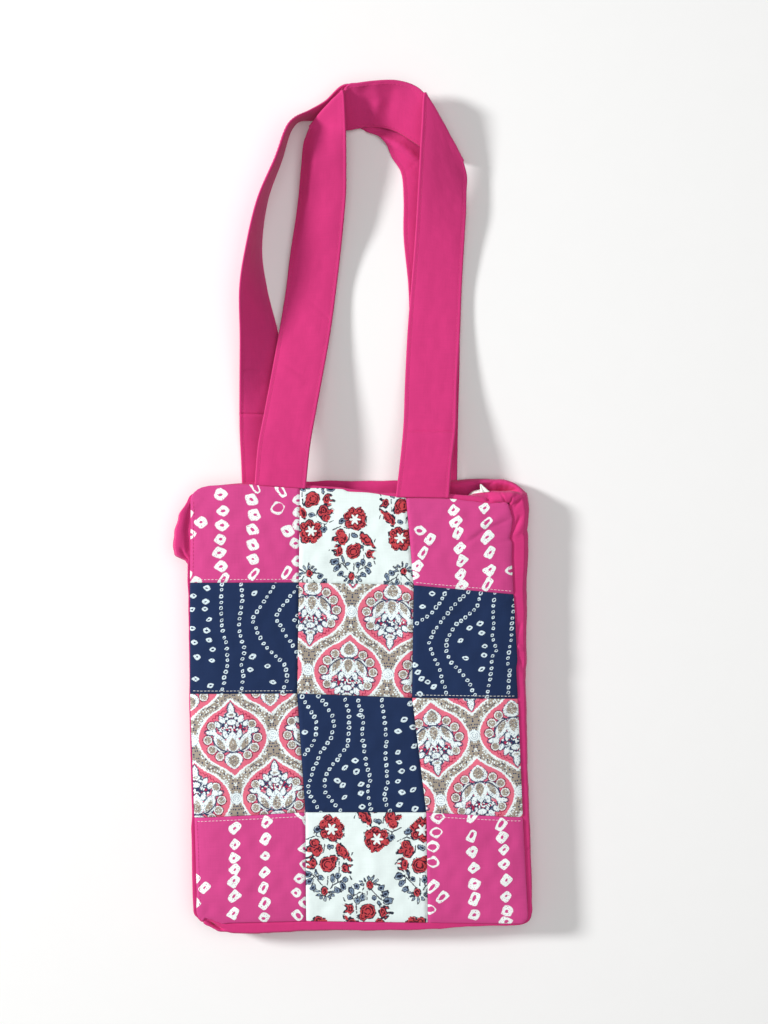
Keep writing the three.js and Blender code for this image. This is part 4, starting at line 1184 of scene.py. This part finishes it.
def strip(node, table, seed, tuck, roll=0.0, crest=None):
    """A turned-in strip along a rim: rolled over the rim, or with a rounded crest."""
    start, end = table[0, 0], table[-1, 0]
    x = mix(start, end, stops(end - start, STRIP_STEPS[0]))[:, None]
    t = stops(STRIP_WIDTH, STRIP_STEPS[1])[None, :]
    points = strip_points(table, x, t)
    points[..., 2] += ripples(x, t * STRIP_WIDTH, (*STRIP_RIPPLE, seed)) * np.sin(math.pi * t)
    if crest is not None:
        points[..., 2] += eased(crest, 1, x) * t / CREST_AT * np.exp(1 - t / CREST_AT)
    if roll:
        s = np.linspace(1, 0, ROLL_STEPS)[None, :-1]
        y, z = eased(table, 1, x), eased(table, 2, x)
        rolled = grid(x, y - roll * s, z + ROLL_RISE * np.sin(math.pi * (0.1 + 0.8 * s)) - 0.5 - 0.8 * s)
        points, t = np.concatenate([rolled, points], 1), np.concatenate([-roll / STRIP_WIDTH * s, t], 1)
    points[..., 1] += ripples(x, 0 * t, (*STRIP_WAVER, seed + 1)) - tuck * smooth(1 - (x - start) / TUCK_RUN)
    points[..., 2] += folds(points, STRIP_FOLDS, STRIP_LEVEL)
    piece = sew(node + "_cloth", points, grid(x, t * STRIP_WIDTH), STRIP_CLOTH, "magenta", [node])
    return piece, cut(points)


front_strip, front_strip_cut = strip("top_strip_front", FRONT_STRIP, 31, FRONT_TUCK, roll=STRIP_ROLL)
back_strip, back_strip_cut = strip("top_strip_back", BACK_STRIP, 34, BACK_TUCK, crest=BACK_CREST)


def gather(name, points, flat):
    """A loose piece of cloth at an end of the mouth."""
    piece = sew(name, points, flat, PLAIN_CLOTH, "magenta")


def mouth_corner_left():
    """Gathered cloth between the left ends of the two rim strips and the top of the side wall."""
    q, r = np.linspace(0, 1, 31)[:, None], np.linspace(1, 0, 21)[None, :]
    ends = np.array([[CORNER_X]]), np.array([[0.0, 1.0]])
    marks = np.concatenate([strip_points(FRONT_STRIP, *ends)[0], strip_points(BACK_STRIP, *ends)[0, ::-1]])
    marks[:, 1] -= (FRONT_TUCK, FRONT_TUCK, BACK_TUCK, BACK_TUCK)
    inner = sample(q[:, 0], CORNER_SHARES, marks)
    outer = gusset_surface(np.array([[0.0]]), q.T)[0]
    points = mix(inner[:, None], outer[:, None], r[..., None])
    bow = np.sin(math.pi * r) * np.sin(math.pi * np.clip(q * 1.25, 0, 1))
    gathers = sum(height * np.sin(math.pi * count * q + slant * r) for height, count, slant in CORNER_GATHERS)
    points[..., 2] += bow * (CORNER_LIFT + gathers)
    gather("mouth_corner_left", points, grid(r * CORNER_FLAT[0], q * CORNER_FLAT[1]))


def mouth_end_right():
    """Gathered right end of the mouth, from the side wall over the back rim."""
    rows = [gusset_surface(np.array([[MOUTH_STATION]]), MOUTH_MARKS[None])[0]]
    for foot, turn, marks in MOUTH_END:
        away = np.array([math.cos(math.radians(turn)), math.sin(math.radians(turn))])
        rows.append(np.array([(*(np.array(foot) + away * reach), height) for reach, height in marks]))
    sections = [catmull(row, [MOUTH_STEPS[0]] * (len(row) - 1)) for row in rows]
    counts = [MOUTH_STEPS[1]] * (len(rows) - 1)
    points = np.stack([catmull(np.array(line), counts) for line in zip(*sections)], 1)
    w, t = np.linspace(0, 1, points.shape[0])[:, None], np.linspace(0, 1, points.shape[1])[None, :]
    fade = smooth((MOUTH_FOLD_FADE[0] - t) / MOUTH_FOLD_FADE[1]) * smooth(w / MOUTH_FOLD_RISE)
    points[..., 2] += folds(points, MOUTH_FOLDS, MOUTH_LEVEL) * fade
    uneven = ripples(points[..., 0], points[..., 1], MOUTH_RIPPLE)
    points[..., 2] += uneven * np.sin(math.pi * t) * np.sin(math.pi * w)
    gather("mouth_end_right", points, grid(w * MOUTH_WIDTH, t * GUSSET_WIDTH))


mouth_corner_left()
mouth_end_right()


# Threads.
def tubes(name, kind, slot, paths, ups, radii, lifts, sides):
    """Short round threads in one piece. Paths are stitches by points by 3, ups their surface normals."""
    count, steps = paths.shape[:2]
    tangent = unit(np.gradient(paths, axis=1))
    across = unit(np.cross(tangent, ups))
    up = unit(np.cross(across, tangent))
    turn = np.arange(sides) * 2 * math.pi / sides
    ring = across[:, :, None] * np.cos(turn)[:, None] + up[:, :, None] * np.sin(turn)[:, None]
    vertices = (paths + up * lifts[None, :, None])[:, :, None] + ring * radii[None, :, None, None]
    starts = (np.arange(count) * steps * sides)[:, None]
    k, s = np.arange(steps - 1)[:, None], np.arange(sides)[None, :]
    after = (s + 1) % sides
    quad = np.stack([k * sides + s, (k + 1) * sides + s, (k + 1) * sides + after, k * sides + after], -1)
    faces = (starts[..., None, None] + quad[None]).reshape(-1, 4).tolist()
    faces += (starts + s).tolist()
    faces += (starts + (steps - 1) * sides + s[:, ::-1]).tolist()
    piece = add_mesh(name, vertices.reshape(-1, 3), faces, MATERIALS[kind])
    place(piece)
    return piece


def stitches(name, kind, slot, lines, length, gap, radius):
    """Running stitches along lines on a surface. Each line is its points and its normals."""
    paths, ups = [], []
    for points, normals in lines:
        run = run_of(points)
        at = np.arange(gap, run[-1] - length, length + gap)[:, None] + STITCH_SHARES[None] * length
        paths.append(sample(at, run, points))
        ups.append(sample(at, run, normals))
    profile = STITCH_RADII * radius, STITCH_LIFTS * radius
    return tubes(name, kind, slot, np.concatenate(paths), np.concatenate(ups), *profile, STITCH_SIDES)


# Straps.
def fold_rows(fold, turns):
    """Half a turn of a strap about a slanted crease."""
    *corners, trim = fold
    outer, inner, away = np.array(corners, float)
    away = unit(away)
    up = unit(np.cross(inner - outer, away))
    up = up * np.sign(up[2])
    shifts = [FOLD_RADIUS * (math.sin(turn) * away + math.cos(turn) * up) for turn in turns]
    outer, inner = mix(outer, inner, trim[0]), mix(inner, outer, trim[1])
    return [(*(outer + shift * FOLD_CORNER[0]), *(inner + shift * FOLD_CORNER[1])) for shift in shifts]


def strap(node, rows, creases, level, join, rests_on, ridge=None):
    """A strap between its two edges: stitched channels, creases, a join and a ridge along one leg."""
    rows = np.array(rows, float)
    spans = np.linalg.norm(np.diff(rows[:, :3], axis=0), axis=1)
    counts = [max(2, int(round(span / STRAP_STEP))) for span in spans]
    outer, inner = catmull(rows[:, :3], counts), catmull(rows[:, 3:], counts)
    across = stops(STRAP_WIDTH, STRAP_CROSS_STEP, STRAP_STOPS)
    points = mix(outer[:, None], inner[:, None], across[None, :, None])
    run = run_of((outer + inner) / 2)
    normal = normals_of(points)
    # Normals point up on the first leg.
    normal = normal * np.sign(normal[len(normal) // 8, 5, 2])
    edge = np.minimum(across, 1 - across) * STRAP_WIDTH
    channel = CHANNEL_RISE * smooth((edge - RISE_START) / SOFT_RUN)
    channel = channel - CHANNEL_DEPTH * bell(edge - CHANNEL_IN, CHANNEL_HALF)
    soft = smooth((edge - SOFT_START) / SOFT_RUN)
    plan = across[None] * STRAP_WIDTH, run[:, None]
    lift = channel[None] + ripples(run[:, None], plan[0], *STRAP_RIPPLES) * soft[None]
    lift = lift + folds(points, creases, level)
    if ridge is not None:
        leg = (run < run[-1] * LEG_SHARE)[:, None]
        at = eased(ridge, 1, points[..., 1])
        tent = np.minimum(across[None] / at, (1 - across[None]) / (1 - at))
        lift = lift + leg * eased(ridge, 2, points[..., 1]) * tent * np.sign(normal[..., 2])
    join_y, join_side = join
    beside = (points[..., 0] - join_side) * np.sign(join_side) > 0
    away = points[..., 1] - join_y
    lift = lift + beside * (JOIN_STEP * smooth(-away / JOIN_RUN) - JOIN_DIP * bell(away, JOIN_HALF))
    points = points + normal * lift[..., None]
    piece = sew(node + "_cloth", points, grid(*plan), STRAP_CLOTH, "magenta", [node])
    lines = []
    for column in (CHANNEL_COLUMN, len(across) - 1 - CHANNEL_COLUMN):
        for face in (1, -1):
            up = normal[:, column] * face
            lines.append((points[:, column] + up * STRAP_CLOTH / 2, up))
    threads = stitches(node + "_stitches", "thread", "magenta", lines, *STRAP_STITCH)


half_turn = np.linspace(0, math.pi, 7)
strap_front = (
    STRAP_FRONT_LEFT_LEG + fold_rows(STRAP_FRONT_LEFT_FOLD, half_turn) + STRAP_FRONT_BAND
    + fold_rows(STRAP_FRONT_RIGHT_FOLD, half_turn[::-1]) + STRAP_FRONT_RIGHT_LEG
)
front_creases, back_creases = (STRAP_FRONT_FOLDS, STRAP_FRONT_LEVEL), (STRAP_BACK_FOLDS, STRAP_BACK_LEVEL)
strap("strap_front", strap_front, *front_creases, STRAP_FRONT_JOIN, "patch_row1_left_cloth", LEG_RIDGE)
strap("strap_back", STRAP_BACK, *back_creases, STRAP_BACK_JOIN, "top_strip_back_cloth")


# Zip.
def zip_half(node, table, span, turned_up):
    """One half of the open zip: tape with a row of coil loops along its edge."""
    x = np.linspace(*span, int((span[1] - span[0]) / ZIP_STEP))[:, None]
    fold, edge = strip_points(table, x, 0.0)[:, 0], strip_points(table, x, 1.0)[:, 0]
    turn = turned_up * smooth((x - ZIP_TURN_X) / ZIP_TURN_RUN)
    onward = unit(unit(edge - fold) + turn * (0, 0, ZIP_TURN_RISE))
    t = np.linspace(0, 1, 7)[None, :]
    out = mix(ZIP_GAP, ZIP_TURN_IN, turn) + t * ZIP_WIDTH
    points = edge[:, None] + onward[:, None] * out[..., None]
    tape = sew(node + "_tape", points, grid(x, t * ZIP_WIDTH), ZIP_TAPE, "zip", [node])
    normal = normals_of(points)
    normal = normal * np.sign(normal[:1, :1, 2:])
    run = run_of(points[:, -1])
    at = np.arange(1, run[-1] - 1, COIL_PITCH)
    centre, out, top = (sample(at, run, line)[:, None] for line in (points[:, -1], onward, normal[:, -1]))
    along = unit(np.cross(out, top))
    turn = (np.arange(COIL_STEPS) * 2 * math.pi / COIL_STEPS)[None, :, None]
    advance = np.linspace(-0.5, 0.5, COIL_STEPS)[None, :, None]
    loops = centre + out * (COIL_RADIUS * np.cos(turn) - COIL_IN) + top * COIL_RADIUS * np.sin(turn)
    loops = loops + along * advance
    profile = np.full(COIL_STEPS, COIL_THREAD), np.zeros(COIL_STEPS)
    ups = np.repeat(along, COIL_STEPS, 1)
    return [tape, tubes(node + "_coil", "white_thread", "zip", loops, ups, *profile, COIL_SIDES)]


def zip_tape_end():
    """Loose end of the zip tape, folded to a point."""
    s, t = np.linspace(0, 1, 13)[:, None], np.linspace(0, 1, 13)[None, :]
    near, far, tip = TAPE_END
    plan = near + (far - near) * (s * mix(1, TAPE_END_TIP, t))[..., None] + (tip - near) * t[..., None]
    height = mix(*TAPE_END_HEIGHTS, t) + 0.5 * np.sin(3 * math.pi * s) * (1 - 0.6 * t)
    points = np.concatenate([plan, height[..., None]], -1)
    return sew("zip_tape_end_cloth", points, plan, ZIP_TAPE, "zip", ["zip_tape_end"])


front_zip = zip_half("zip_front", FRONT_STRIP, ZIP_FRONT_SPAN, 1.0)
back_zip = zip_half("zip_back", BACK_STRIP, ZIP_BACK_SPAN, 0.0)
front_zip.append(zip_tape_end())


# Topstitching.
def panel_line(row, col, a, b):
    """Points and normals along a line on a patch."""
    a, b = np.broadcast_arrays(a, b)
    points, _ = patch_surface(row, col, a, b)
    right, _ = patch_surface(row, col, np.minimum(a + LINE_STEP, 1), b)
    down, _ = patch_surface(row, col, a, np.minimum(b + LINE_STEP, 1))
    up = unit(np.cross(down - points, right - points))
    return points + up * PATCH_CLOTH / 2, up


for name, shade, slot, rows in TOPSTITCH:
    stitches(name, shade, slot, [panel_line(*row) for row in rows], *TOPSTITCH_SIZE)

# Floor, light and camera.
corners = FLOOR_HALF * METRE * np.array([(-1, -1, 0), (1, -1, 0), (1, 1, 0), (-1, 1, 0)])
paper = grained("floor_paper", "floor", 40.0, 4.0, 0.985, roughness=0.95, sheen=0.0)
add_mesh("floor", corners, [(0, 1, 2, 3)], paper)


def area_light(name, location, size, power):
    data = bpy.data.lights.new(name, "AREA")
    data.shape, data.size, data.energy = "DISK", size, power
    light = bpy.data.objects.new(name, data)
    light.location = location
    x, y, z = np.array(LIGHT_TARGET) - np.array(location)
    light.rotation_euler = (math.atan2(math.hypot(x, y), -z), 0, math.atan2(y, x) - math.pi / 2)
    light.visible_camera = False
    bpy.context.scene.collection.objects.link(light)


area_light("key", *KEY_LIGHT)
area_light("sky", *SKY_LIGHT)
world = bpy.data.worlds.new("studio")
world.use_nodes = True
background = world.node_tree.nodes["Background"].inputs
background["Color"].default_value = (1, 1, 1, 1)
background["Strength"].default_value = WORLD_LIGHT
bpy.context.scene.world = world
bpy.context.scene.view_settings.view_transform = "Standard"

camera_data = bpy.data.cameras.new("camera")
camera_data.sensor_width = 36.0
half_view = HALF_PICTURE * CHART_UNIT / (VIEW_HEIGHT - CHART_LEVEL)
camera_data.lens = camera_data.sensor_width / 2 / half_view
camera = bpy.data.objects.new("camera", camera_data)
camera.location = np.array((*VIEW_FOOT, VIEW_HEIGHT)) / METRE
bpy.context.scene.collection.objects.link(camera)
bpy.context.scene.camera = camera

bpy.context.view_layer.update()
